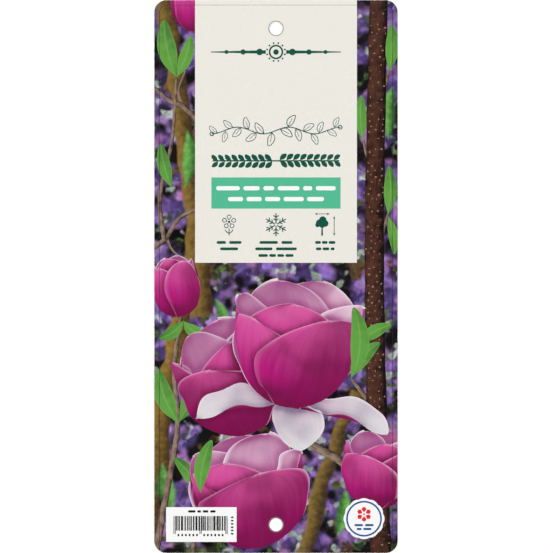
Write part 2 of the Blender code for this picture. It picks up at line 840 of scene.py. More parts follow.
@dataclass
class Patch:
    """A flat piece of a drawing, made of triangles.

    Args:
        points: its points in millimetres, one a row.
        triangles: the three points of each triangle, anticlockwise.
        values: for each point its place across and along the thing drawn, its shade from
            0 to 1 and its closeness to the rim from 0 to 1.
        finish: what it is printed with.
        depth: how near to the viewer it is.
    """

    points: Array
    triangles: Array
    values: Array
    finish: Finish
    depth: float = 0.0

    def outlines(self) -> list[Array]:
        """Walk round the patch, without its holes.

        Returns:
            Its closed outlines, none of which touches itself.
        """
        follow: dict[int, list[int]] = {}
        for start, end in outer_edges(self.triangles):
            follow.setdefault(start, []).append(end)
        loops = []
        for start in list(follow):
            walked = [start]
            while follow.get(walked[-1]):
                here = follow[walked[-1]].pop()
                if here not in walked:
                    walked.append(here)
                    continue
                first = walked.index(here)
                loops.append(self.points[walked[first:]])
                del walked[first + 1:]
        return [loop for loop in loops if signed_area(loop) > SLIVER_AREA]

    def near(self, outlines: Sequence[Array], reach: float = 0.0) -> list[Array]:
        """Pick the outlines that lie near the patch.

        Args:
            outlines: closed outlines.
            reach: how near to the patch's box they have to come.

        Returns:
            The near ones.
        """
        low, high = self.points.min(0) - reach, self.points.max(0) + reach
        return [line for line in outlines
                if (line.max(0) > low).all() and (line.min(0) < high).all()]

    def darkened(self, covers: Sequence[Array]) -> "Patch":
        """Shade the patch softly beside the outlines of what lies in front of it.

        Args:
            covers: outlines of the things in front.

        Returns:
            The shaded patch.
        """
        values = self.values.copy()
        for cover in self.near(covers, SHADOW_REACH):
            near = np.exp(-((distance_to(cover, self.points) / SHADOW_SOFTNESS) ** 2))
            values[:, 2] *= 1 - SHADOW_DEPTH * near
        return replace(self, values=values)

    def trimmed(self, covers: Sequence[Array] = ()) -> "Patch":
        """Return the part that lies on the card and that no cover hides.

        Args:
            covers: closed outlines of the things in front.

        Returns:
            The visible part, which may be empty.
        """
        near = self.near((*HOLE_OUTLINES, *covers))
        points = [Vector(point) for point in self.points]
        edges: list[tuple[int, int]] = []
        for outline in (CARD_OUTLINE, *near):
            first, count = len(points), len(outline)
            points += [Vector(point) for point in outline]
            edges += [(first + i, first + (i + 1) % count) for i in range(count)]
        found = delaunay_2d_cdt(points, edges, self.triangles.tolist(), 0, MERGE_DISTANCE)
        placed, corners = np.array(found[0]), np.array(found[2])
        numbers, sources = np.array([(number, source) for number, own in enumerate(found[5])
                                     for source in own]).T
        middles = placed[corners[numbers]].mean(1)
        seen = lies_inside(CARD_OUTLINE, middles)
        seen &= self._shares(middles, sources).min(1) > -1e-4
        for outline in near:
            seen &= ~lies_inside(outline, middles)
        chosen, first = np.unique(numbers[seen], return_index=True)
        return self._rebuilt(placed, corners[chosen], sources[seen][first])

    def _shares(self, points: Array, sources: Array) -> Array:
        """Find points' places in the patch's triangles.

        Args:
            points: the points, one a row.
            sources: the triangle of each of them.

        Returns:
            Three weights for each point.
        """
        a, b, c = (self.points[self.triangles[sources, i]] for i in range(3))
        first, second, reach = b - a, c - a, points - a
        area = first[:, 0] * second[:, 1] - first[:, 1] * second[:, 0]
        u = (reach[:, 0] * second[:, 1] - reach[:, 1] * second[:, 0]) / area
        v = (first[:, 0] * reach[:, 1] - first[:, 1] * reach[:, 0]) / area
        return np.column_stack((1 - u - v, u, v))

    def _rebuilt(self, points: Array, corners: Array, sources: Array) -> "Patch":
        """Carry the values over to new triangles.

        Args:
            points: the new points.
            corners: the new triangles.
            sources: the patch's own triangle that each is cut from.

        Returns:
            The new patch.
        """
        values = np.zeros((len(points), self.values.shape[1]))
        own = self.values[self.triangles[sources]]
        for i in range(3):
            shares = np.clip(self._shares(points[corners[:, i]], sources), 0, 1)
            shares /= shares.sum(1, keepdims=True)
            values[corners[:, i]] = (shares[:, :, None] * own).sum(1)
        kept = corners[doubled_areas(points, corners) > LEAST_AREA]
        used, triangles = renumbered(kept)
        return replace(self, points=points[used], triangles=triangles, values=values[used])


def renumbered(corners: Array) -> tuple[Array, Array]:
    """Return the numbers that triangles use, and the triangles counted by their order."""
    used, renamed = np.unique(corners, return_inverse=True)
    return used, renamed.reshape(-1, 3)


def doubled_areas(points: Array, triangles: Array) -> Array:
    """Return twice the area of each triangle, negative where it runs clockwise."""
    a, b, c = (points[triangles[:, i]] for i in range(3))
    return (b - a)[:, 0] * (c - a)[:, 1] - (b - a)[:, 1] * (c - a)[:, 0]


def facing_up(points: Array, triangles: Array) -> Array:
    """Turn triangles face up.

    Args:
        points: the points, one a row.
        triangles: their triangles.

    Returns:
        The triangles, all anticlockwise, without any that is flat.
    """
    areas = doubled_areas(points, triangles)
    turned = np.where((areas < 0)[:, None], triangles[:, ::-1], triangles)
    return turned[abs(areas) > LEAST_AREA]


def grid_patches(points: Array, values: Array, depth: Array, front: Finish,
                 back: Finish) -> list[Patch]:
    """Cut a grid that may be folded into flat patches, one for each side that shows.

    Args:
        points: rows and columns of points in millimetres.
        values: the values of each point, as in Patch.
        depth: how near to the viewer each point is.
        front: finish of the side that shows where the grid runs anticlockwise.
        back: finish of the other side.

    Returns:
        The patches, each with its mean depth.
    """
    rows, columns = points.shape[:2]
    number = np.arange(rows * columns).reshape(rows, columns)
    a, b, c, d = number[:-1, :-1], number[:-1, 1:], number[1:, 1:], number[1:, :-1]
    triangles = np.vstack((np.stack((a, b, c), -1).reshape(-1, 3),
                           np.stack((a, c, d), -1).reshape(-1, 3)))
    flat, worth = points.reshape(-1, 2), values.reshape(-1, values.shape[-1])
    areas = doubled_areas(flat, triangles)
    quads = np.tile(areas.reshape(2, -1).sum(0), 2)
    solid = abs(areas) > SLIVER_AREA
    patches = []
    for finish, chosen in ((front, solid & (quads > 0)), (back, solid & (quads < 0))):
        if chosen.sum() < FEWEST_TRIANGLES:
            continue
        used, corners = renumbered(triangles[chosen])
        mean = float(depth.reshape(-1)[used].mean())
        patches.append(Patch(flat[used], facing_up(flat[used], corners), worth[used], finish, mean))
    return patches


def ribbon(mid: Array, half: Array, across: Array,
           values: Sequence[Array | float], finish: Finish) -> Patch:
    """Return a flat patch that follows a line.

    Args:
        mid: the line's points.
        half: half of the ribbon's width at each of them.
        across: where the ribbon has points, from 1 at its left edge to -1 at its right.
        values: the four values of its points, as in Patch, each as a row, a column or both.
        finish: what it is printed with.

    Returns:
        The patch.
    """
    points = mid[:, None] + (sideways(mid) * half[:, None])[:, None] * across[None, :, None]
    grid = np.stack(np.broadcast_arrays(*values), -1)
    return grid_patches(points, grid, np.zeros(points.shape[:2]), finish, finish)[0]


def new_piece(name: str, content: bpy.types.ID) -> Piece:
    """Link an object at the origin.

    Args:
        name: the object's name.
        content: its mesh, light or camera.

    Returns:
        The object.
    """
    piece = bpy.data.objects.new(name, content)
    bpy.context.scene.collection.objects.link(piece)
    return piece


def store_layer(mesh: bpy.types.Mesh, name: str, values: Array) -> None:
    """Store values in a layer of a mesh's corners.

    Args:
        mesh: the mesh.
        name: the layer's name.
        values: two values for each vertex.
    """
    corners = np.empty(len(mesh.loops), int)
    mesh.loops.foreach_get("vertex_index", corners)
    mesh.uv_layers.new(name=name).data.foreach_set("uv", values[corners].reshape(-1))


def map_print(mesh: bpy.types.Mesh) -> None:
    """Give a mesh a map that follows the printed face over its own extent.

    Args:
        mesh: the mesh, all of whose walls are upright.
    """
    places = np.empty(len(mesh.vertices) * 3)
    mesh.vertices.foreach_get("co", places)
    flat = places.reshape(-1, 3)[:, :2]
    share = (1 - 2 * MAP_MARGIN) * (flat - flat.min(0)) / np.ptp(flat, axis=0)
    store_layer(mesh, PRINT_MAP, MAP_MARGIN + share)


def print_patches(name: str, patches: Sequence[Patch], level: Level,
                  base: Level | float = Level.PICTURE) -> Piece:
    """Make closed, thin layers of ink from patches.

    Args:
        name: the piece's name.
        patches: its patches, which don't cover one another.
        level: the layer whose top it reaches.
        base: the layer that it lies on, or the height of its underside in metres.

    Returns:
        The piece, one object.
    """
    low = base.height if isinstance(base, Level) else base
    vertices, faces, inks, values = [], [], [], []
    finishes = list(dict.fromkeys(patch.finish for patch in patches))
    for patch in (patch for patch in patches if len(patch.triangles)):
        first, count = len(vertices), len(patch.points)
        for height in (level.height, low):
            vertices += [(x * MM, y * MM, height) for x, y in patch.points]
        values += [patch.values, patch.values]
        made = [tuple(first + i for i in t) for t in patch.triangles]
        made += [tuple(first + count + i for i in t[::-1]) for t in patch.triangles]
        made += [(first + count + i, first + count + j, first + j, first + i)
                 for i, j in outer_edges(patch.triangles)]
        faces += made
        inks += [finishes.index(patch.finish)] * len(made)
    mesh = bpy.data.meshes.new(name)
    mesh.from_pydata(vertices, [], faces)
    for finish in finishes:
        mesh.materials.append(finish.material())
    mesh.polygons.foreach_set("material_index", inks)
    stored = np.vstack(values)
    store_layer(mesh, GRAIN, stored[:, :2])
    store_layer(mesh, LIGHT, stored[:, 2:])
    map_print(mesh)
    return new_piece(name, mesh)


class Stencil:
    """Flat shapes of one ink, which may overlap, joined to one closed layer."""

    def __init__(self) -> None:
        """Start with no shape."""
        self.points: list[Vector] = []
        self.faces: list[list[int]] = []

    def polygon(self, outline: Sequence[Point] | Array) -> "Stencil":
        """Add a filled outline.

        Args:
            outline: its points, either way round.

        Returns:
            The stencil, for a further call.
        """
        points = np.array(outline, float)
        if signed_area(points) < 0:
            points = points[::-1]
        first = len(self.points)
        self.points += [Vector(point) for point in points]
        self.faces.append(list(range(first, len(self.points))))
        return self

    def disc(self, centre: Point, radius: float, steps: int = 20) -> "Stencil":
        """Add a filled circle."""
        return self.polygon(circle(centre, radius, steps))

    def line(self, path: Sequence[Point] | Array, width: float,
             closed: bool = False) -> "Stencil":
        """Add a line with round ends.

        Args:
            path: the points that it follows.
            width: its width.
            closed: whether it joins its last point to its first.

        Returns:
            The stencil, for a further call.
        """
        points = np.array(path, float)
        if closed:
            points = np.vstack((points[-1:], points, points[:2]))
        side = sideways(points) * width / 2
        left, right = points + side, points - side
        for i in range(1, len(points) - 2) if closed else range(len(points) - 1):
            self.polygon((right[i], right[i + 1], left[i + 1], left[i]))
        if not closed:
            for end in (points[0], points[-1]):
                self.disc(tuple(end), width / 2, ROUNDED_STEPS)
        return self

    def ring(self, centre: Point, radius: float, width: float, steps: int = 48) -> "Stencil":
        """Add a circle drawn as a line."""
        return self.line(circle(centre, radius, steps), width, closed=True)

    def patch(self, finish: Finish) -> Patch:
        """Join the shapes to one patch.

        Args:
            finish: what it is printed with.

        Returns:
            The patch.
        """
        found = delaunay_2d_cdt(self.points, [], self.faces, 0, MERGE_DISTANCE)
        points, corners = np.array(found[0]), np.array(found[2])
        middles = points[corners].mean(1)
        inked = np.zeros(len(corners), bool)
        for face in self.faces:
            inked |= lies_inside(np.array([self.points[i] for i in face]), middles)
        used, triangles = renumbered(corners[inked])
        triangles = facing_up(points[used], triangles)
        return Patch(points[used], triangles, np.zeros((len(used), 4)), finish)

    def print(self, name: str, finish: Finish, level: Level = Level.INK,
              base: Level = Level.PANEL) -> Piece:
        """Return the shapes as a piece of ink that lies on its base and reaches its level."""
        return print_patches(name, [self.patch(finish)], level, base)


def trimmed_apart(patches: Sequence[Patch], nearer: Sequence[Array] = (),
                  shadow: bool = False) -> list[Patch]:
    """Cut patches apart so that each shows only where nothing in front of it does.

    Args:
        patches: the patches, the nearest first.
        nearer: outlines of what lies in front of all of them.
        shadow: whether each is shaded softly beside what lies in front of it.

    Returns:
        The parts that show.
    """
    covers = list(nearer)
    shown = []
    for patch in patches:
        seen = patch.trimmed(covers)
        if len(seen.triangles):
            shown.append(seen.darkened(covers) if shadow else seen)
            covers += seen.outlines()
    return shown


class Kind(Enum):
    """What an input of a pattern takes. A length is given in millimetres."""

    WHOLE = "NodeSocketInt"
    PLAIN = "NodeSocketFloat"
    LENGTH = "length"
    PIECE = "NodeSocketObject"
    INK = "NodeSocketMaterial"


class Pattern(Graph):
    """A Geometry Nodes tree with named inputs, from which plain meshes are grown."""

    def __init__(self, name: str) -> None:
        """Build the tree, which ends by turning its shape and moving it to its centre.

        Args:
            name: the tree's name.
        """
        super().__init__(bpy.data.node_groups.new(name, "GeometryNodeTree"))
        self.identifiers: dict[str, str] = {}
        self.lengths: set[str] = set()
        self.tree.interface.new_socket("Geometry", in_out="OUTPUT",
                                       socket_type="NodeSocketGeometry")
        self.entry = self.tree.nodes.new("NodeGroupInput")
        ink = self.takes("Ink", Kind.INK)
        centre = self.vector(*self.each(Kind.LENGTH, "Centre X", "Centre Y"))
        turn = self.rotation(self.takes("Turn", Kind.PLAIN))
        inputs = {"Geometry": self.shape(), "Translation": centre, "Rotation": turn}
        placed = self.node("GeometryNodeTransform", None, inputs)
        realized = self.node("GeometryNodeRealizeInstances", None, {"Geometry": placed})
        inked = self.node("GeometryNodeSetMaterial", None, {"Geometry": realized, "Material": ink})
        self.add("NodeGroupOutput", None, {"Geometry": inked})

    def shape(self) -> Field:
        """Return the pattern's geometry, round the origin."""
        raise NotImplementedError

    def takes(self, name: str, kind: Kind) -> Field:
        """Add a named input.

        Args:
            name: the input's name.
            kind: what it takes.

        Returns:
            The input, with lengths in metres.
        """
        if kind is Kind.LENGTH:
            self.lengths.add(name)
            kind = Kind.PLAIN
        socket = self.tree.interface.new_socket(name, in_out="INPUT", socket_type=kind.value)
        self.identifiers[name] = socket.identifier
        return Field(self, self.entry.outputs[name])

    def each(self, kind: Kind, *names: str) -> list[Field]:
        """Add several inputs of one kind."""
        return [self.takes(name, kind) for name in names]

    def index(self) -> Field:
        """Return the number of each point, from 0."""
        return self.node("GeometryNodeInputIndex")

    def rotation(self, angle: Number) -> Field:
        """Return the rotation by an angle about +Z."""
        return self.node("FunctionNodeEulerToRotation", None, {0: self.vector(0.0, 0.0, angle)})

    def random_whole(self, name: str, seed: Field) -> Field:
        """Add random whole numbers.

        Args:
            name: start of the names of two inputs, the least number and the most.
            seed: picks the numbers.

        Returns:
            A number for each point.
        """
        least, most = self.each(Kind.WHOLE, name + " Least", name + " Most")
        inputs = {4: least, 5: most, 8: seed}
        return self.node("FunctionNodeRandomValue", {"data_type": "INT"}, inputs, 2)

    def keep(self, geometry: Field, name: str, value: Field) -> Field:
        """Store a value on a geometry's points under a name."""
        inputs = {"Geometry": geometry, "Name": name, "Value": value}
        return self.node("GeometryNodeStoreNamedAttribute", {"data_type": "FLOAT"}, inputs)

    def kept(self, name: str) -> Field:
        """Return the value that is stored under a name."""
        return self.node("GeometryNodeInputNamedAttribute", {"data_type": "FLOAT"}, {"Name": name})

    def moved(self, geometry: Field, **inputs: Field) -> Field:
        """Move a geometry's points to a Position or by an Offset."""
        return self.node("GeometryNodeSetPosition", None, {"Geometry": geometry, **inputs})

    def points(self, count: Field, position: Field) -> Field:
        """Return that many points at the positions that a field gives."""
        return self.moved(self.node("GeometryNodePoints", None, {"Count": count}),
                          Position=position)

    def solid_of(self, name: str) -> Field:
        """Return the mesh of the object that is given to the input of that name."""
        given = {"Object": self.takes(name, Kind.PIECE)}
        return self.node("GeometryNodeObjectInfo", None, given, "Geometry")

    def grow(self, name: str, finish: Finish, centre: Point = (0.0, 0.0), turn: float = 0.0,
             **sizes: float | int | Piece) -> Piece:
        """Grow a piece from the pattern.

        Args:
            name: the piece's name.
            finish: what it is printed with.
            centre: where the pattern's middle goes.
            turn: how far it is turned, in degrees.
            sizes: the pattern's own inputs, with _ for the spaces in their names. An object
                among them is used up.

        Returns:
            The piece, a plain mesh.
        """
        seedling = new_piece(name + "_seedling", bpy.data.meshes.new(name + "_seedling"))
        modifier = seedling.modifiers.new("pattern", "NODES")
        modifier.node_group = self.tree
        given = {"Ink": finish.material(), "Centre X": centre[0], "Centre Y": centre[1],
                 "Turn": radians(turn)}
        given |= {key.replace("_", " "): size for key, size in sizes.items()}
        for key, size in given.items():
            modifier[self.identifiers[key]] = size * MM if key in self.lengths else size
        evaluated = seedling.evaluated_get(bpy.context.evaluated_depsgraph_get())
        mesh = bpy.data.meshes.new_from_object(evaluated)
        bpy.data.objects.remove(seedling)
        for used in (size for size in sizes.values() if isinstance(size, Piece)):
            bpy.data.objects.remove(used)
        mesh.name = name
        while mesh.uv_layers:
            mesh.uv_layers.remove(mesh.uv_layers[0])
        mesh.materials.clear()
        mesh.materials.append(finish.material())
        mesh.polygons.foreach_set("material_index", [0] * len(mesh.polygons))
        map_print(mesh)
        return new_piece(name, mesh)


class DashRow(Pattern):
    """Dashes of random lengths in a row, which together fill an exact width."""

    def shape(self) -> Field:
        """Lay the dashes in a row.

        Returns:
            The row along X. Four sides give square dashes, and more give round ends.
        """
        count, seed, sides = self.each(Kind.WHOLE, "Count", "Seed", "Sides")
        width, height, low, high = self.each(Kind.LENGTH, "Width", "Height", "Low", "High")
        dash = self.random_whole("Dash", seed)
        gap = self.random_whole("Gap", seed + 1)
        gap = gap * self.math("LESS_THAN", self.index(), count - 1.5)
        run = self.node("GeometryNodeAccumulateField", None, {0: dash + gap}, "Trailing")
        unit = width / run.other("Total")
        cap = self.math("MINIMUM", dash * unit, height)
        place = self.vector((run + dash * 0.5) * unit - width * 0.5, 0.0, (low + high) * 0.5)
        points = self.keep(self.points(count, place), "spread", (dash * unit - cap) * 0.5)
        inputs = {"Points": points, "Instance": self._dash(sides),
                  "Scale": self.vector(cap, height, high - low)}
        dashes = self.node("GeometryNodeInstanceOnPoints", None, inputs)
        realized = self.node("GeometryNodeRealizeInstances", None, {"Geometry": dashes})
        spread = self.kept("spread") * self.kept("end")
        return self.moved(realized, Offset=self.vector(spread, 0.0))

    def row(self, name: str, finish: Finish, centre: Point, size: Point, count: int, seed: int,
            dash: tuple[int, int] = (1, 1), gap: tuple[int, int] = (1, 1), sides: int = 12,
            turn: float = 0.0, base: Level = Level.PANEL) -> Piece:
        """Grow a row of dashes.

        Args:
            name: the piece's name.
            finish: what it is printed with.
            centre: its middle.
            size: its width and height.
            count: number of its dashes.
            seed: picks their lengths.
            dash: the least and the greatest length of a dash, in shares of the row.
            gap: the same of a gap.
            sides: sides of a dash's round ends, or 4 for square ones.
            turn: how far the row is turned, in degrees.
            base: the layer that it lies on.

        Returns:
            The piece.
        """
        return self.grow(name, finish, centre, turn, Count=count, Seed=seed, Sides=sides,
                         Width=size[0], Height=size[1], Dash_Least=dash[0], Dash_Most=dash[1],
                         Gap_Least=gap[0], Gap_Most=gap[1], **span(base, Level.INK))

    def _dash(self, sides: Field) -> Field:
        """Make a prism that is one unit wide, high and deep, with its two ends marked.

        Args:
            sides: number of its sides.

        Returns:
            The prism.
        """
        inputs = {"Vertices": sides, "Radius": 0.5 / self.math("COSINE", pi / sides),
                  "Depth": 1.0}
        prism = self.node("GeometryNodeMeshCylinder", {"fill_type": "NGON"}, inputs)
        inputs = {"Geometry": prism, "Rotation": self.rotation(pi / sides)}
        square = self.node("GeometryNodeTransform", None, inputs)
        x, _, _ = self.parts(self.node("GeometryNodeInputPosition"))
        return self.keep(square, "end", self.math("SIGN", x))


class Wheel(Pattern):
    """Copies of one arm that are turned round a centre."""

    def shape(self) -> Field:
        """Turn the arm round the centre.

        Returns:
            The wheel.
        """
        count = self.takes("Count", Kind.WHOLE)
        inputs = {"Points": self.node("GeometryNodePoints", None, {"Count": count}),
                  "Instance": self.solid_of("Arm"),
                  "Rotation": self.rotation(self.index() * TURN / count)}
        return self.node("GeometryNodeInstanceOnPoints", None, inputs)


class Garland(Pattern):
    """Leaves along a waving stem, which point away from its middle and shrink outwards."""

    def shape(self) -> Field:
        """Set leaves along the stem.

        Returns:
            The leaves, alternate where Sides is 1 and in pairs where it is 2.
        """
        count, sides = self.each(Kind.WHOLE, "Count", "Sides")
        reach, wave = self.each(Kind.LENGTH, "Reach", "Wave")
        waves, lean, shrink = self.each(Kind.PLAIN, "Waves", "Lean", "Shrink")
        place = self.math("FLOOR", (self.index() + 0.01) / sides)
        share = (place + 0.5) * 2.0 * sides / count - 1.0
        phase = share * waves * pi
        x, y = share * reach, self.math("SINE", phase) * wave
        slope = self.math("ARCTANGENT", self.math("COSINE", phase) * wave * waves * pi / reach)
        outwards = self.math("LESS_THAN", share, 0.0) * pi
        side = self.math("FLOORED_MODULO", self.index(), 2.0) * 2.0 - 1.0
        size = 1.0 - abs(share) * shrink
        inputs = {"Points": self.points(count, self.vector(x, y)),
                  "Instance": self.solid_of("Leaf"),
                  "Rotation": self.rotation(slope + outwards + side * lean),
                  "Scale": self.vector(size, size, 1.0)}
        return self.node("GeometryNodeInstanceOnPoints", None, inputs)


class Specks(Pattern):
    """Small flat spots that are scattered over a bed."""

    def shape(self) -> Field:
        """Scatter the spots.

        Returns:
            The spots.
        """
        seed = self.takes("Seed", Kind.WHOLE)
        low, high, spacing, size = self.each(Kind.LENGTH, "Low", "High", "Spacing", "Size")
        _, _, up = self.parts(self.node("GeometryNodeInputNormal"))
        inputs = {"Mesh": self.solid_of("Bed"), "Selection": self.math("GREATER_THAN", up, 0.5),
                  "Distance Min": spacing, "Density Max": 1.0 / (spacing * spacing), "Seed": seed}
        points = self.node("GeometryNodeDistributePointsOnFaces",
                           {"distribute_method": "POISSON"}, inputs)
        x, y, _ = self.parts(self.node("GeometryNodeInputPosition"))
        points = self.moved(points, Position=self.vector(x, y, (low + high) * 0.5))
        spread = {0: (0.3, 0.3, 0.0), 1: (1.6, 1.35, 0.0), 8: seed}
        wide, tall, _ = self.parts(self.node("FunctionNodeRandomValue",
                                             {"data_type": "FLOAT_VECTOR"}, spread))
        disc = self.node("GeometryNodeMeshCylinder", {"fill_type": "NGON"},
                         {"Vertices": 8, "Radius": 0.5, "Depth": 1.0})
        inputs = {"Points": points, "Instance": disc,
                  "Scale": self.vector(wide * size, tall * size, high - low)}
        return self.node("GeometryNodeInstanceOnPoints", None, inputs)


class Patterns:
    """The patterns that the label's repeated shapes are grown from."""

    def __init__(self) -> None:
        """Build each pattern's tree."""
        self.rows, self.wheel = DashRow("dash_row"), Wheel("wheel")
        self.garland, self.specks = Garland("garland"), Specks("specks")


def ease(value: Array, low: float, high: float) -> Array:
    """Return a smooth rise from 0 at low to 1 at high."""
    share = np.clip((value - low) / (high - low), 0.0, 1.0)
    return share * share * (3 - 2 * share)


SUN = unit(np.array((-0.5, -0.62, 0.6)))
RING_DEPTH = 12.0
PETAL_ROWS = 34
PETAL_COLUMNS = 22
FOOT_RADIUS = 1.2
AMBIENT, SUNLIGHT, SKYLIGHT = 0.24, 0.56, 0.3
RIM_START, RIM_END = 0.15, 1.0


@dataclass(frozen=True)
class Tepal:
    """One petal of a bloom, as a curved surface round the bloom's upright axis.

    Args:
        turn: where it stands round the axis, in degrees. 0 faces the viewer.
        length: its length.
        width: its greatest width.
        belly: angle between its foot and the axis, in degrees.
        spread: angle between its middle and the axis.
        curl: how much further out its tip bends, or in where it is negative.
        cup: radius of its cross-section, as a share of its width.
        point: how pointed its tip is, from 0 for a round one to 1.
        twist: how far it turns about its own midline, in degrees.
        full: how far up its belly reaches, as a share of its length.
        broad: how far up it keeps its full width, as a share of its length.
        outside: whether it stands in the outer ring, so that it hides those of the inner one.
        ruffle: waviness of its rim, as a share of its width.
        inner: print of its inside.
    """

    turn: float
    length: float
    width: float
    belly: float = 72.0
    spread: float = 4.0
    curl: float = -30.0
    cup: float = 0.56
    point: float = 0.0
    twist: float = 0.0
    full: float = 0.6
    broad: float = 0.5
    outside: bool = False
    ruffle: float = 0.025
    inner: Finish = PETAL_INSIDE

    def surface(self) -> tuple[Array, Array, Array]:
        """Shape the petal.

        Returns:
            The surface's points, in rows from foot to tip, and the grid's two parameters.
        """
        share = np.linspace(0.0, 1.0, PETAL_ROWS)
        along = 1 - (1 - share) ** 1.5
        angle = np.radians(
            self.spread + (self.belly - self.spread) * (1 - ease(along, -0.1, self.full))
            + self.curl * ease(along, self.full * 0.85, 1.1))
        step = np.diff(along, prepend=0.0)
        mid = np.sin(angle), np.cos(angle)
        out = np.cumsum(step * mid[0]) * self.length + FOOT_RADIUS
        up = np.cumsum(step * mid[1]) * self.length
        rise = np.sin(pi / 2 * np.minimum(1.0, (along + 0.12) / 0.62))
        beyond = np.maximum(0.0, (along - self.broad) / (1 - self.broad))
        fall = np.cos(pi / 2 * beyond ** (1.8 - self.point))
        half = self.width / 2 * rise * np.maximum(fall, 0.0) ** (0.62 + self.point * 0.6)
        half = half * (1 + self.ruffle * np.sin(along * 9 + self.turn))
        across = np.linspace(-1.0, 1.0, PETAL_COLUMNS)
        radius = self.cup * self.width * (0.35 + 0.65 * rise)
        bend = across[None] * (half / radius)[:, None]
        tilt = np.radians(self.twist) * along[:, None]
        side = np.sin(bend) * radius[:, None]
        depth = (1 - np.cos(bend)) * radius[:, None]
        depth = depth + (self.ruffle * self.width * np.sin(along * 14 + self.turn)[:, None]
                         * np.abs(across[None]) ** 3 * np.sign(across[None] + 0.2))
        side, depth = (side * np.cos(tilt) - depth * np.sin(tilt),
                       side * np.sin(tilt) + depth * np.cos(tilt))
        radial = out[:, None] - mid[1][:, None] * depth
        height = up[:, None] + mid[0][:, None] * depth
        turn = radians(self.turn)
        x = radial * sin(turn) + side * cos(turn)
        y = -radial * cos(turn) + side * sin(turn)
        return np.stack((x, y, height), -1), along, across


@dataclass
class Bloom:
    """A goblet-shaped bloom, drawn petal by petal.

    Args:
        name: the piece's name.
        foot: where it sits on its twig.
        pitch: how far its axis leans towards the viewer, in degrees.
        roll: how far it leans to the left in the picture, in degrees.
        tepals: its petals, the ones in front first where two are equally near.
        light: how brightly it is lit.
        covers: outlines of its petals, once it is built.
    """

    name: str
    foot: Point
    pitch: float
    roll: float
    tepals: tuple[Tepal, ...]
    light: float = 1.0
    covers: list[Array] = field(default_factory=list)

    def place(self, points: Array) -> Array:
        """Lean points as the bloom leans.

        Args:
            points: points in the bloom's own space.

        Returns:
            The points as the picture shows them.
        """
        lean, roll = radians(self.pitch), radians(self.roll)
        x, y, z = (points[..., i] for i in range(3))
        y, z = y * cos(lean) - z * sin(lean), y * sin(lean) + z * cos(lean)
        x, z = x * cos(roll) - z * sin(roll), x * sin(roll) + z * cos(roll)
        return np.stack((x, y, z), -1)

    def patches(self) -> list[Patch]:
        """Draw the petals.

        Returns:
            A flat patch for each face of a petal that shows, the nearest first.
        """
        found = []
        for order, tepal in enumerate(self.tepals):
            points, along, across = tepal.surface()
            points = self.place(points)
            normal = unit(np.cross(np.gradient(points, axis=1), np.gradient(points, axis=0)))
            facing = np.where(normal[..., 1:2] > 0, -1.0, 1.0) * normal
            lit = np.clip((facing * SUN).sum(-1), 0, 1)
            open_sky = 0.5 + 0.5 * facing[..., 2]
            shade = self.light * (AMBIENT + SUNLIGHT * lit + SKYLIGHT * open_sky)
            beside = (1 - np.abs(across))[None] * tepal.width / 2
            gap = np.minimum(beside * np.sqrt(1.02 - along)[:, None],
                             (1 - along[:, None]) * tepal.length * 0.9)
            rim = 1 - ease(gap, RIM_START, RIM_END)
            grid = np.broadcast_arrays(across[None], along[:, None], shade, rim)
            flat = points[..., (0, 2)] + self.foot
            ring = RING_DEPTH * cos(radians(tepal.turn)) * tepal.outside
            depth = ring - points[..., 1] - order * 0.01
            found += grid_patches(flat, np.stack(grid, -1), depth, PETAL_OUTSIDE,
                                  tepal.inner)
        return sorted(found, key=lambda patch: -patch.depth)

    def build(self, nearer: Sequence[Array]) -> Piece:
        """Print the bloom.

        Args:
            nearer: outlines of what lies in front of it on the same layer.

        Returns:
            The piece. The outlines of its petals are then in covers.
        """
        shown = trimmed_apart(self.patches(), nearer, shadow=True)
        self.covers = [outline for patch in shown for outline in patch.outlines()]
        return print_patches(self.name, shown, Level.BLOOMS)


@dataclass(frozen=True)
class Leaf:
    """One printed leaf.

    Args:
        foot: where it joins its twig.
        tip: where it ends.
        width: its greatest width.
        bow: how far its midrib bows to the left.
        light: how brightly it is lit.
        fold: how much the shade of its two halves differs.
        fullest: where it is widest, as a share of its length.
    """

    foot: Point
    tip: Point
    width: float
    bow: float = 0.0
    light: float = 0.7
    fold: float = 0.25
    fullest: float = 0.5

    def spine(self, along: Array) -> tuple[Array, Array]:
        """Draw the midrib.

        Args:
            along: shares of its length.

        Returns:
            The midrib's points and half of the leaf's width there.
        """
        foot, tip = np.array(self.foot), np.array(self.tip)
        run = tip - foot
        left = unit(np.array((-run[1], run[0])))
        mid = foot + along[:, None] * run + (4 * along * (1 - along))[:, None] * left * self.bow
        bell = np.sin(pi * along ** (log2(0.5) / log2(self.fullest)))
        return mid, self.width / 2 * np.maximum(bell, 0.001) ** (1.15 - 0.6 * along)

    def outline(self, steps: int) -> Array:
        """Draw the leaf's edge.

        Args:
            steps: number of chords on each side.

        Returns:
            The outline's points.
        """
        mid, half = self.spine(0.5 - 0.5 * np.cos(np.linspace(0.0, pi, steps + 1)))
        side = sideways(mid) * half[:, None]
        return np.vstack((mid - side, (mid + side)[::-1]))

    def patch(self) -> Patch:
        """Draw the leaf.

        Returns:
            The leaf as a flat patch.
        """
        along = 0.5 - 0.5 * np.cos(np.linspace(0.0, pi, 24))
        mid, half = self.spine(along)
        across = np.linspace(1.0, -1.0, 9)
        lit = self.light + self.fold * across[None] * (1 - 0.6 * np.abs(across[None]))
        shade = lit + 0.12 * np.sin(along * 5.0)[:, None]
        rim = ease(np.abs(across), 0.8, 1.0)[None]
        return ribbon(mid, half, across, (across[None], along[:, None], shade, rim), YOUNG_LEAF)


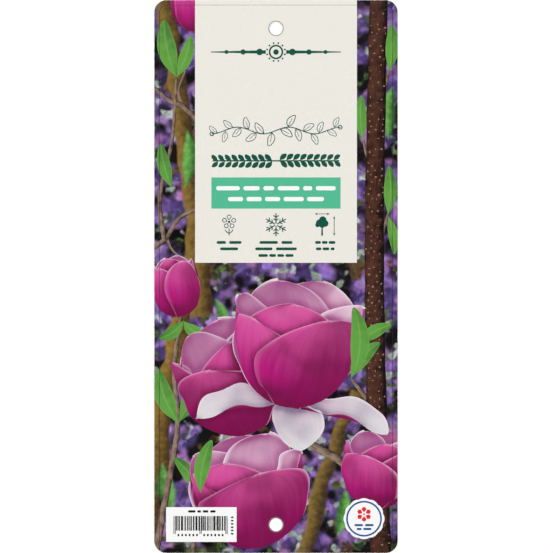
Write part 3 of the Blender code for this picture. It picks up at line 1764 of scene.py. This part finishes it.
@dataclass(frozen=True)
class Twig:
    """A printed stem that narrows along a smooth path.

    Args:
        path: the points that it passes, from foot to tip.
        widths: its width at foot and tip.
        finish: its bark.
        steps: chords between two of its points.
    """

    path: tuple[Point, ...]
    widths: tuple[float, float]
    finish: Finish = TWIG_BARK
    steps: int = 14

    def patch(self, share: float = 1.0) -> Patch:
        """Draw the stem.

        Args:
            share: share of its width that is drawn, about its middle.

        Returns:
            The stem as a flat patch.
        """
        mid = smooth_path(self.path, self.steps)
        walked = np.cumsum(np.linalg.norm(np.diff(mid, axis=0, prepend=mid[:1]), axis=1))
        half = np.interp(walked, (0, walked[-1]), self.widths) / 2 * share
        half = half * (1 + 0.03 * np.sin(walked * 0.19) + 0.015 * np.sin(walked * 0.53 + 1))
        across = np.linspace(1.0, -1.0, 7)
        lit = np.sqrt(np.clip(1 - across**2, 0, 1)) * 0.55 + 0.3 * across + 0.15
        values = across[None] * half[:, None], walked[:, None], lit[None], 0.0
        return ribbon(mid, half, across, values, self.finish)
@dataclass
class Card:
    """The bare sheet and the picture's far ground on it.

    Args:
        far_ground: what the far ground is printed with.
    """

    far_ground: BlurredGarden

    def build(self) -> list[Piece]:
        """Make the sheet, which stands for the CAD card, and print the far ground on it.

        Returns:
            The sheet and the far ground.
        """
        layers = (("card_sheet", BARE_SHEET, Level.SHEET, CARD_LOW.z),
                  ("far_ground", self.far_ground, Level.PICTURE, Level.SHEET))
        face = Stencil().polygon(CARD_OUTLINE)
        return [print_patches(name, [face.patch(finish).trimmed()], level, base)
                for name, finish, level, base in layers]


@dataclass
class Trunk:
    """The dark stem that runs up the picture's right-hand strip, with its pale specks.

    Args:
        patterns: what the specks are grown from.
        stem: its course, widths and bark.
        bed_share: share of its width that has specks.
        bed_inset: how far they stay from the card's top and bottom edges.
        spacing: least distance between two specks.
        speck: mean size of a speck.
    """

    patterns: Patterns
    stem: Twig
    bed_share: float = 0.82
    bed_inset: float = 1.6
    spacing: float = 2.0
    speck: float = 0.78

    def build(self) -> list[Piece]:
        """Print the stem and its specks.

        Returns:
            The two pieces.
        """
        stem = print_patches("picture_trunk", [self.stem.patch().trimmed()], Level.TRUNK)
        bed = self.stem.patch(self.bed_share)
        inside = abs(bed.points[:, 1]) < HALF_HEIGHT - self.bed_inset
        bed.triangles = bed.triangles[inside[bed.triangles].all(1)]
        specks = self.patterns.specks.grow(
            "trunk_specks", SPECK_INK, Seed=7, Bed=print_patches("bed", [bed], Level.TRUNK),
            Spacing=self.spacing, Size=self.speck, **span(Level.PICTURE, Level.SPECKS))
        return [stem, specks]


@dataclass
class CreamPanel:
    """The cream panel at the top, with its ornament, green band and small signs.

    Args:
        patterns: what its repeated shapes are grown from.
        half_width: half of its width.
        low: height of its lower edge on the card.
        band_half: half of the green band's width.
        band_low: height of the band's lower edge.
        band_high: height of its upper edge.
        sign_height: height of the small signs' middles.
        leafy: share of a garland's stem that has leaves.
    """

    patterns: Patterns
    half_width: float = 36.6
    low: float = 6.2
    band_half: float = 29.2
    band_low: float = 30.7
    band_high: float = 44.8
    sign_height: float = 23.4
    leafy: float = 0.97

    def outline(self) -> Array:
        """Return the panel's outline, its lower edge first."""
        return rectangle(-self.half_width, self.half_width, self.low, HALF_HEIGHT)

    def build(self) -> list[Piece]:
        """Print the panel and all that is on it.

        Returns:
            The pieces.
        """
        ground = Stencil().polygon(self.outline())
        band = Stencil().polygon(
            rectangle(-self.band_half, self.band_half, self.band_low, self.band_high))
        return [
            print_patches("cream_panel", [ground.patch(CREAM_INK).trimmed()], Level.PANEL),
            band.print("green_band", MINT_INK, Level.BAND, Level.PANEL),
            *self._emblem(),
            *self._title(),
            *self._subtitle(),
            *self._band_dashes(),
            *self._flower_sign(-21.2),
            *self._snow_sign(0),
            *self._tree_sign(22.2),
            *self._captions(),
        ]

    def _emblem(self) -> list[Piece]:
        """Print the plain tapered rule with a ring in its middle, at the panel's head.

        Returns:
            The rule with its ring, and the ring's beads.
        """
        height, reach, middle, thick, thin = 101.5, 29.4, 4.6, 0.8, 0.2
        rule = Stencil()
        for way in (-1, 1):
            near, far = way * middle, way * reach
            rule.polygon([(near, height - thick), (far, height - thin), (far, height + thin),
                          (near, height + thick)])
            for step, size in enumerate((1.5, 1.2, 0.9)):
                rule.disc((way * (middle + 2.8 + 7.5 * step), height), size)
        rule.ring((0, height), 2.9, 0.75)
        rule.disc((0, height), 1.25)
        bead = Stencil().disc((4.15, 0), 0.42, 12).print("bead", GREEN_INK)
        beads = self.patterns.wheel.grow("emblem_beads", GREEN_INK, (0.0, height), 15.0,
                                         Arm=bead, Count=12)
        return [rule.print("emblem_rule", GREEN_INK), beads]

    def _title(self) -> list[Piece]:
        """Print the thin-lined garland across the panel.

        Returns:
            Its stem and its leaves.
        """
        height, reach, wave, waves = 66, 29, 1.5, 2.5
        steps = np.linspace(-1, 1, 121)
        stem = np.column_stack((steps * reach, np.sin(steps * waves * pi) * wave + height))
        vine = Stencil().line(stem, 0.42)
        for end in (stem[0], stem[-1]):
            vine.ring(tuple(end), 0.85, 0.4, 20)
        edge = Leaf((0.3, 0), (6.6, 0), 3.1, bow=0.5, fullest=0.45).outline(14)
        leaf = Stencil().line(edge, 0.36, closed=True)
        leaf.line([(0.3, 0), (2.2, 0.3), (4.6, 0.42)], 0.26)
        leaves = self.patterns.garland.grow(
            "title_leaves", GREEN_INK, (0, height),
            Leaf=leaf.print("thin_leaf", GREEN_INK, Level.BAND), Count=16, Sides=1,
            Reach=reach * self.leafy, Wave=wave, Waves=waves, Lean=radians(54), Shrink=0.28)
        return [vine.print("title_vine", GREEN_INK), leaves]

    def _subtitle(self) -> list[Piece]:
        """Print the bold row of leaf pairs under the garland.

        Returns:
            Its stem and its leaves.
        """
        height, reach = 52.3, 28.4
        stem = Stencil().line([(-reach, height), (reach, height)], 0.6)
        leaf = Stencil().polygon(Leaf((0.2, 0), (4.5, 0), 2.3, 0.3, fullest=0.55).outline(10))
        leaves = self.patterns.garland.grow(
            "subtitle_leaves", GREEN_INK, (0, height),
            Leaf=leaf.print("bold_leaf", GREEN_INK, Level.BAND), Count=36, Sides=2,
            Reach=reach * self.leafy, Wave=0, Waves=1, Lean=radians(42), Shrink=0.12)
        return [stem.print("subtitle_stem", GREEN_INK), leaves]

    def _band_dashes(self) -> list[Piece]:
        """Print the white dashes on the band.

        Returns:
            The two rows, the upper one first.
        """
        return [self.patterns.rows.row(f"band_dashes_{number}", WHITE_INK, (0.0, height),
                                       (width, 1.9), count, 2 + number, (4, 13), (2, 2),
                                       base=Level.BAND)
                for number, height, width, count in ((1, 39.9, 54, 6), (2, 35, 43.4, 5))]

    def _flower_sign(self, x: float) -> list[Piece]:
        """Print the flower sign.

        Args:
            x: where its middle is.

        Returns:
            Its petals and its stalk.
        """
        y = self.sign_height + 1.3
        petal = Stencil().line(Leaf((0.95, 0), (3.1, 0), 1.9, fullest=0.6).outline(8), 0.34,
                               closed=True)
        petals = self.patterns.wheel.grow("flower_sign_petals", GREEN_INK, (x, y), 90.0,
                                          Arm=petal.print("petal", GREEN_INK), Count=5)
        stalk = Stencil().disc((x, y), 0.55).line([(x, y - 3.1), (x, y - 6)], 0.4)
        for way in (-1, 1):
            stalk.line([(x, y - 5.2), (x + way, y - 4.7), (x + 1.7 * way, y - 3.7)], 0.4)
        return [petals, stalk.print("flower_sign_stalk", GREEN_INK)]

    def _snow_sign(self, x: float) -> list[Piece]:
        """Print the snow crystal sign.

        Args:
            x: where its middle is.

        Returns:
            The crystal.
        """
        arm = Stencil().line([(0.75, 0), (5, 0)], 0.5)
        for foot, reach in ((1.9, 1.25), (3.3, 1.35)):
            for side in (-1, 1):
                arm.line([(foot, 0), (foot + reach * 0.62, side * reach * 0.8)], 0.46)
        return [self.patterns.wheel.grow("snow_sign", GREEN_INK, (x, self.sign_height), 90.0,
                                         Arm=arm.print("arm", GREEN_INK), Count=6)]

    def _tree_sign(self, x: float) -> list[Piece]:
        """Print the tree sign with its measuring arrows.

        Args:
            x: where its middle is.

        Returns:
            The sign.
        """
        y = self.sign_height
        sign = Stencil()
        for puff_x, puff_y, radius in ((-2, 0.9, 1.5), (-0.3, 2.1, 1.7), (-2.9, -0.1, 1),
                                       (0.9, 0.6, 1.5), (-0.6, 0.2, 1.6)):
            sign.disc((x - 0.8 + puff_x * 0.9, y + puff_y), radius)
        sign.polygon([(x - 1.75, y - 4.9), (x - 0.95, y - 4.9), (x - 1.1, y), (x - 1.6, y)])
        top, right = y + 4.9, x + 4.1
        for start, end in (((x - 4.4, top), (x + 1.8, top)), ((right, y + 3.6), (right, y - 4.7))):
            sign.line([start, end], 0.26)
            run = unit(np.subtract(end, start))
            for tip, way in ((start, run), (end, -run)):
                side = way[::-1] * 0.5
                sign.polygon([tip - way * 0.3, tip + way * 0.85 - side, tip + way * 0.85 + side])
        return [sign.print("tree_sign", GREEN_INK)]

    def _captions(self) -> list[Piece]:
        """Print the rows of dashes under the signs.

        Returns:
            The rows.
        """
        lines = (
            ("flower_caption_1", -21.2, 15.4, 11.2, 2), ("flower_caption_2", -21.2, 12.5, 8.1, 1),
            ("snow_caption_1", 0, 15.4, 14.9, 2), ("snow_caption_2", 0, 12.5, 18.8, 2),
            ("snow_caption_3", 0, 9.5, 15.9, 4), ("tree_caption_1", 22.3, 15.4, 9.1, 3),
            ("tree_caption_2", 22.3, 12.5, 8.4, 3),
        )
        return [self.patterns.rows.row(name, GREEN_INK, (x, y), (width, 1.25), count, 11 + number,
                                       (3, 7))
                for number, (name, x, y, width, count) in enumerate(lines)]


@dataclass
class CodePanel:
    """The white panel with bars, at the foot of the card on the left.

    Args:
        patterns: what its bars and dashes are grown from.
        left: its least X.
        right: its greatest X.
        low: its least Y.
        high: its greatest Y.
        bars_left: where the bars start.
        bars_width: how far they reach.
        guard_width: width of the pair of long bars at each end and in the middle.
    """

    patterns: Patterns
    left: float = -49.7
    right: float = -17.8
    low: float = -120.0
    high: float = -104.3
    bars_left: float = -46.3
    bars_width: float = 24.4
    guard_width: float = 0.95

    def build(self) -> list[Piece]:
        """Print the panel, its bars and the dashes round them.

        Returns:
            The pieces.
        """
        row = self.patterns.rows.row
        white = Stencil().polygon(rectangle(self.left, self.right, self.low, self.high))
        middle = self.bars_left + self.bars_width / 2
        half = self.bars_width / 2 - self.guard_width - 0.3
        made = [white.print("code_panel", WHITE_INK, Level.PANEL, Level.PICTURE)]
        for side, name in ((-1, "left"), (1, "right")):
            centre = middle + side * (half + 0.25) / 2 + side * 0.2
            made.append(row(f"code_bars_{name}", BLACK_INK, (centre, -111.6), (half - 0.35, 6.6),
                            13, 20 + side, (1, 4), (1, 2), sides=4))
        for place, name in ((-1, "left"), (0, "middle"), (1, "right")):
            centre = middle + place * (self.bars_width - self.guard_width) / 2
            made.append(row(f"code_guard_{name}", BLACK_INK, (centre, -112.35),
                            (self.guard_width, 8.1), 2, 1, sides=4))
        dashes = (("code_heading", middle + 0.6, -106.2, 12.4, 1, 4, (2, 5), 0),
                  ("code_dashes_left", middle - 5.8, -116.9, 9.2, 1.1, 6, (1, 1), 0),
                  ("code_dashes_right", middle + 5.8, -116.9, 9.2, 1.1, 6, (1, 1), 0),
                  ("code_dash_side", self.right - 2, -112.6, 8.2, 1.2, 6, (1, 1), 90))
        for number, (name, x, y, width, height, count, dash, turn) in enumerate(dashes):
            made.append(row(name, BLACK_INK, (x, y), (width, height), count, 31 + number, dash,
                            turn=turn))
        return made


@dataclass
class Badge:
    """The small white badge at the foot of the card on the right.

    Args:
        patterns: what its petals and dashes are grown from.
        centre: its middle.
        radius: mean radius of its scalloped edge.
        scallops: number of its lobes.
        ring: radius of its blue ring.
    """

    patterns: Patterns
    centre: Point = (39.8, -109.5)
    radius: float = 9.1
    scallops: int = 12
    ring: float = 7.7

    def build(self) -> list[Piece]:
        """Print the badge, its ring, its flower and the dashes under it.

        Returns:
            The pieces.
        """
        angles = np.linspace(0, TURN, 144, endpoint=False)
        reach = self.radius + 0.38 * np.abs(np.cos(angles * self.scallops / 2)) - 0.2
        edge = np.column_stack((np.cos(angles), np.sin(angles))) * reach[:, None] + self.centre
        x, y = self.centre
        middle = x, y + 2
        petal = Stencil().polygon(Leaf((0.75, 0), (3.3, 0), 2.1, fullest=0.62).outline(10))
        flower = self.patterns.wheel.grow("badge_flower", RED_INK, middle, 90.0,
                                          Arm=petal.print("petal", RED_INK), Count=6)
        dashes = [self.patterns.rows.row(
            f"badge_dashes_{line + 1}", BLUE_INK, (x, y - 2.9 - 1.75 * line),
            (8.6 - 2 * line, 0.95), 2, 50 + line, (3, 6)) for line in range(2)]
        disc = Stencil().polygon(edge)
        return [disc.print("badge_disc", WHITE_INK, Level.PANEL, Level.PICTURE),
                Stencil().ring(self.centre, self.ring, 0.75, 64).print("badge_ring", BLUE_INK),
                Stencil().disc(middle, 0.42).print("badge_flower_middle", RED_INK),
                flower, *dashes]


@dataclass
class TrimLines:
    """The printer's thin lines: a frame inside the card's edge and a ring round each hole.

    Args:
        panel: outline of the cream panel, on which the frame is paler.
        inset: distance from the card's edge to the frame.
        corner: radius of the frame's corners.
        frame_width: width of the frame's line.
        ring_radius: radius of the rings.
        ring_width: width of their line.
    """

    panel: Array
    inset: float = 2.3
    corner: float = 3.4
    frame_width: float = 0.14
    ring_radius: float = 3.3
    ring_width: float = 0.3

    def build(self) -> list[Piece]:
        """Print the frame and the rings.

        Returns:
            The frame, its stretch on the panel, and a ring for each hole.
        """
        half, reach = HALF_WIDTH - self.inset, HALF_HEIGHT - self.inset
        path = rectangle(-half, half, -reach, reach, self.corner)
        whole = Stencil().line(path, self.frame_width, closed=True).patch(SHADOW_INK)
        hairline = Stencil().line(self.panel[:2] * (1, 0) + (0, reach), self.frame_width)
        made = [print_patches("trim_frame", [whole.trimmed([self.panel])], Level.INK),
                hairline.print("panel_hairline", GREY_INK)]
        for centre, name in zip(HOLES, ("top", "bottom")):
            base = Level.PANEL if centre[1] > 0 else Level.PICTURE
            ring = Stencil().ring(centre, self.ring_radius, self.ring_width)
            made.append(ring.print(f"{name}_hole_ring", GREY_INK, Level.INK, base))
        return made




@dataclass
class Studio:
    """The pale floor, the soft lights and the camera that looks straight down.

    Args:
        lens: focal length of the camera, in millimetres.
        sensor: width of its sensor.
        aside: how far the camera hangs to the right of the card's middle, in metres.
        floor_size: width of the floor, in metres.
        floor_gap: how far the floor lies under the card, in metres.
        softbox: width of a light, in metres.
        walls: light that the walls give.
        ceiling: light that the ceiling gives.
    """

    lens: float = 100.0
    sensor: float = 36.0
    aside: float = 0.00023
    floor_size: float = 8.0
    floor_gap: float = 0.00002
    softbox: float = 2.5
    walls: float = 0.85
    ceiling: float = 0.03

    def build(self) -> None:
        """Set up the floor, camera, lights and room."""
        self._floor()
        self._camera()
        self._light("left_softbox", (-2.75, 0.25, 2.5), 107.0)
        self._light("right_softbox", (2.75, -0.25, 2.5), 103.0)
        self._light("top_softbox", (0.0, 3.0, 2.5), 51.0)
        self._room()

    def _room(self) -> None:
        """Put pale walls and a dim ceiling round the floor."""
        scene = bpy.context.scene
        scene.view_settings.view_transform = "Standard"
        scene.world = bpy.data.worlds.new("soft_room")
        scene.world.use_nodes = True
        scene.world.node_tree.nodes.clear()
        room = Graph(scene.world.node_tree)
        _, _, up = room.parts(room.node("ShaderNodeTexCoord", output="Generated"))
        strength = self.walls - room.step(up, 0.02, 0.11) * (self.walls - self.ceiling)
        light = room.node("ShaderNodeBackground", None,
                          {"Color": (1.0, 1.0, 1.0, 1.0), "Strength": strength})
        room.add("ShaderNodeOutputWorld", None, {"Surface": light})

    def _floor(self) -> None:
        """Lay the floor, a hair under the card."""
        half = self.floor_size / 2
        mesh = bpy.data.meshes.new("floor")
        mesh.from_pydata([(-half, -half, 0), (half, -half, 0), (half, half, 0), (-half, half, 0)],
                         [], [(0, 1, 2, 3)])
        floor = new_piece("floor", mesh)
        floor.location.z = -self.floor_gap
        paint = Paint("pale_floor")
        speckle = paint.noise(paint.place(), 9.0, 2.0) * 0.01 + 0.99
        white = paint.shaded((0.96, 0.96, 0.96, 1.0), speckle)
        mesh.materials.append(paint.finish(white, Film(roughness=0.9, smear=0.0, coat=0.0)))
        floor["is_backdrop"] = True

    def _camera(self) -> None:
        """Hang the camera so that the card fills the picture's height."""
        camera = bpy.data.cameras.new("camera")
        camera.lens = self.lens
        camera.sensor_width = self.sensor
        camera.clip_start = 0.01
        holder = new_piece("camera", camera)
        distance = 2 * HALF_HEIGHT * MM * self.lens / self.sensor
        holder.location = (self.aside, 0.0, CARD_HIGH.z + distance)
        bpy.context.scene.camera = holder

    def _light(self, name: str, place: tuple[float, float, float], power: float) -> None:
        """Hang a square light that looks at the card's middle.

        Args:
            name: its name.
            place: where it hangs.
            power: its power, in watts.
        """
        light = bpy.data.lights.new(name, "AREA")
        light.size = self.softbox
        light.energy = power
        holder = new_piece(name, light)
        holder.location = place
        holder.rotation_euler = Vector(place).to_track_quat("Z", "Y").to_euler()


FAR_GROUND = BlurredGarden("far_ground", layers=(
    Drift(17, 0.60, 0.07, 3.1, VIOLETS, 9),
    Drift(10, 0.26, 0.08, 9.7, MOSSES, 6),
    Drift(11, 0.40, 0.06, 5.7, VIOLETS, 6),
    Drift(9, 0.26, 0.06, 13.4, LILACS, 5),
    Drift(12, 0.42, 0.07, 17.9, DARKS, 5),
    Drift(6, 0.15, 0.05, 31.7, MOSSES, 3),
    Drift(8, 0.12, 0.06, 25.3, EARTHS, 4),
    Drift(7, 0.15, 0.05, 21.2, PALES, 3.4),
    BlurredLimb((12, -132), (37, -52), (8, 5.5), 2.5, 0.8,
                srgb(132, 106, 52), srgb(60, 46, 30)),
    BlurredLimb((-61, -130), (-34, 14), (11, 8.5), 3, 0.6,
                srgb(146, 116, 50), srgb(70, 50, 26)),
    BlurredLimb((-33, -18), (-52, 132), (9.5, 7), -2, 0.6,
                srgb(136, 108, 50), srgb(62, 46, 26)),
    *(BlurredLeaf(foot, tip, (wide, 0), bow, 1.1, srgb(112, 176, 84), srgb(52, 98, 44))
      for foot, tip, wide, bow in (
          ((-41, 40), (-39.5, 66), 6.5, -1.5),
          ((-27.5, -10), (-22, -33), 5.5, 1.5),
          ((-50.5, -84), (-47, -108), 7, -1.5),
          ((31, -96), (27, -117), 6, 1.5),
          ((50.5, 62), (53, 86), 5.5, 1))),
))


def goblet(length: float, width: float, opening: float, front: float = 0.0) -> tuple[Tepal, ...]:
    """Return the upright petals of a half-open bloom.

    Args:
        length: length of its petals.
        width: their width.
        opening: how far it is open, in degrees.
        front: how far it is turned round its axis, in degrees.

    Returns:
        The petals, the outer ones first.
    """
    ring = ((34, 0.92, 1.1, 90, 7, -30, 0.5, 0.62, True),
            (-46, 0.86, 1.05, 90, 10, -24, 0.5, 0.6, True),
            (-6, 1, 1, 88, 0, -40, 0.5, 0.54, False),
            (-98, 0.9, 1, 84, 12, -26, 0.52, 0.5, False),
            (104, 0.88, 1, 84, 14, -24, 0.52, 0.5, False),
            (152, 0.95, 1.04, 80, 2, -32, 0.56, 0.5, False),
            (-148, 0.93, 1.04, 80, 3, -32, 0.56, 0.5, False))
    return tuple(Tepal(turn + front, length * long, width * wide, belly, opening + wider, curl,
                       cup, broad=broad, outside=outside)
                 for turn, long, wide, belly, wider, curl, cup, broad, outside in ring)


PALE_PETAL = replace(PETAL_INSIDE, name="pale_petal", foot=srgb(196, 158, 180),
                     middle=srgb(206, 194, 204), tip=srgb(218, 216, 218), deep=srgb(130, 116, 144),
                     veins=0.5)
SKIRT = tuple(Tepal(*sizes, ruffle=0.035, inner=PALE_PETAL) for sizes in (
    (-70, 44, 31, 84, 94, 30, 0.8, 0.4, 6),
    (64, 50, 31, 84, 88, 18, 0.8, 0.4, -6),
    (14, 33, 25, 86, 108, 28, 0.8, 0.3, 8)))

# Each of these tables has the nearest thing first.
BLOOMS = (
    Bloom("bloom_large", (6, -58), 20, -6, goblet(68, 58, 8) + SKIRT),
    Bloom("bloom_back", (-13, -70), 22, 16, goblet(62, 50, 6, 24), 0.86),
    Bloom("bloom_low", (-8, -121), 24, 10, goblet(60, 56, 8, -20), 0.95),
    Bloom("bloom_right", (44, -104), 20, -8, goblet(42, 34, 4, 20), 0.9),
    Bloom("bud", (-43, -18), 8, 10, goblet(34, 20, -8), 0.9),
    Bloom("bloom_top", (-36.5, 111), 10, 4, goblet(32, 18, -6, 40), 0.9),
)
LEAVES_BEHIND = (
    Leaf((-44, -66), (-53, -42), 8.5, 2, 0.7),
    Leaf((-44, -66), (-37, -44), 7, -1.5, 0.55),
    Leaf((-42, -20), (-53, -28), 5.5, 1.5, 0.6),
    Leaf((-42, -20), (-31, -27), 5.5, -1.5, 0.75),
    Leaf((50.5, 27.5), (51, 50), 6, -1, 0.65),
    Leaf((50.5, 27.5), (53.5, 10), 4.5, 1, 0.75),
    Leaf((39.5, 61.5), (38.8, 82), 5.5, 1, 0.75),
    Leaf((51, 92.5), (52, 114), 6, -1, 0.7),
    Leaf((-45, 90), (-50.5, 116), 8.5, 1.5, 0.65),
    Leaf((-45, 90), (-38.5, 109), 6, -1, 0.8),
    Leaf((-47, 40), (-52, 60), 6, 1, 0.6),
    Leaf((38, -30), (52, -22), 6, 1.2, 0.75),
    Leaf((-34, -98), (-46, -82), 6.5, -1.2, 0.6),
)
LEAVES_IN_FRONT = (
    Leaf((34, -46), (35, -14), 8.5, -3.5, 0.8),
    Leaf((34, -46), (47, -30), 7, 2, 0.68),
    Leaf((-34, -98), (-29, -74), 7, 1.8, 0.75),
)
TWIGS = (
    Twig(((46, -100), (30, -84), (14, -74), (6, -58)), (4.5, 3)),
    Twig(((-55, -128), (-49.5, -98), (-44.5, -67), (-46, -42), (-43, -18)), (3.4, 1.8)),
    Twig(((-38, -128), (-36.5, -116), (-34, -98)), (2.4, 1.3)),
    Twig(((45, 12), (48.4, 20), (50.5, 28)), (2, 1)),
    Twig(((44.5, 50), (41, 55), (39.5, 62)), (1.8, 0.9)),
    Twig(((45, 80), (49.4, 86), (51, 93)), (1.9, 1)),
    Twig(((-50.6, 16.6), (-52.5, 36), (-47, 62), (-45, 90)), (2.2, 1.2)),
    Twig(((45, -60), (40, -54), (34, -46)), (2.6, 1.4)),
    Twig(((-35, 70), (-42, 77), (-48, 79.5), (-56, 86)), (2.6, 1.7)),
    Twig(((-42.5, 77.4), (-44, 84), (-41, 93)), (1.5, 0.8)),
    Twig(((-57, 12), (-50, 17), (-44, 26), (-35, 31)), (2.4, 1.5)),
    Twig(((-49.6, 17.4), (-47, 12), (-41, 7)), (1.5, 0.8)),
)


@dataclass
class FlowerPicture:
    """Everything in the picture that is in focus: twigs, leaves and blooms.

    Args:
        trunk: the stem that the twigs come out from behind.
    """

    trunk: Twig

    def build(self) -> list[Piece]:
        """Print the twigs, the leaves and the blooms, each cut where a nearer one hides it.

        Returns:
            The twigs, the leaves behind the blooms, those in front, and each bloom.
        """
        layers = (("twigs", TWIGS, self.trunk.patch().outlines(), Level.TWIGS),
                  ("leaves_behind", LEAVES_BEHIND, (), Level.LEAVES),
                  ("leaves_in_front", LEAVES_IN_FRONT, (), Level.FRONT_LEAVES))
        made = [print_patches(name, trimmed_apart([thing.patch() for thing in things], nearer),
                              level) for name, things, nearer, level in layers]
        covers: list[Array] = []
        for bloom in BLOOMS:
            made.append(bloom.build(covers))
            covers += bloom.covers
        return made


def save_sizes() -> None:
    """Gather the CAD model's box and the visual model's box as plain lists."""
    boxes = {"cad": CAD_BOX, "visual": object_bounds()}
    plain = {name: [list(low), list(high)] for name, (low, high) in boxes.items()}


def hand_over(pieces: Sequence[Piece]) -> None:
    """Hang each piece on the root body, hide the CAD card that the sheet and far ground stand for,
    and log each piece's faces.

    Args:
        pieces: every piece of the label.
    """
    for piece in pieces:
        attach(piece, "root")
        if piece.name in ("card_sheet", "far_ground"):
            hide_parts("card")
        log.info("%s: %d faces", piece.name, len(piece.data.polygons))


def main() -> None:
    """Build the label and the studio round it."""
    logging.basicConfig(level=logging.INFO, format="%(name)s %(message)s")
    patterns = Patterns()
    stem = Twig(((47.5, -130.0), (45.5, -60.0), (44.5, 20.0), (46.5, 130.0)), (9.4, 8.2),
                TRUNK_BARK, 36)
    panel = CreamPanel(patterns)
    pieces = [
        *Card(FAR_GROUND).build(),
        *Trunk(patterns, stem).build(),
        *FlowerPicture(stem).build(),
        *panel.build(),
        *CodePanel(patterns).build(),
        *Badge(patterns).build(),
        *TrimLines(panel.outline()).build(),
    ]
    Studio().build()
    hand_over(pieces)
    save_sizes()


if __name__ == "__main__":
    main()
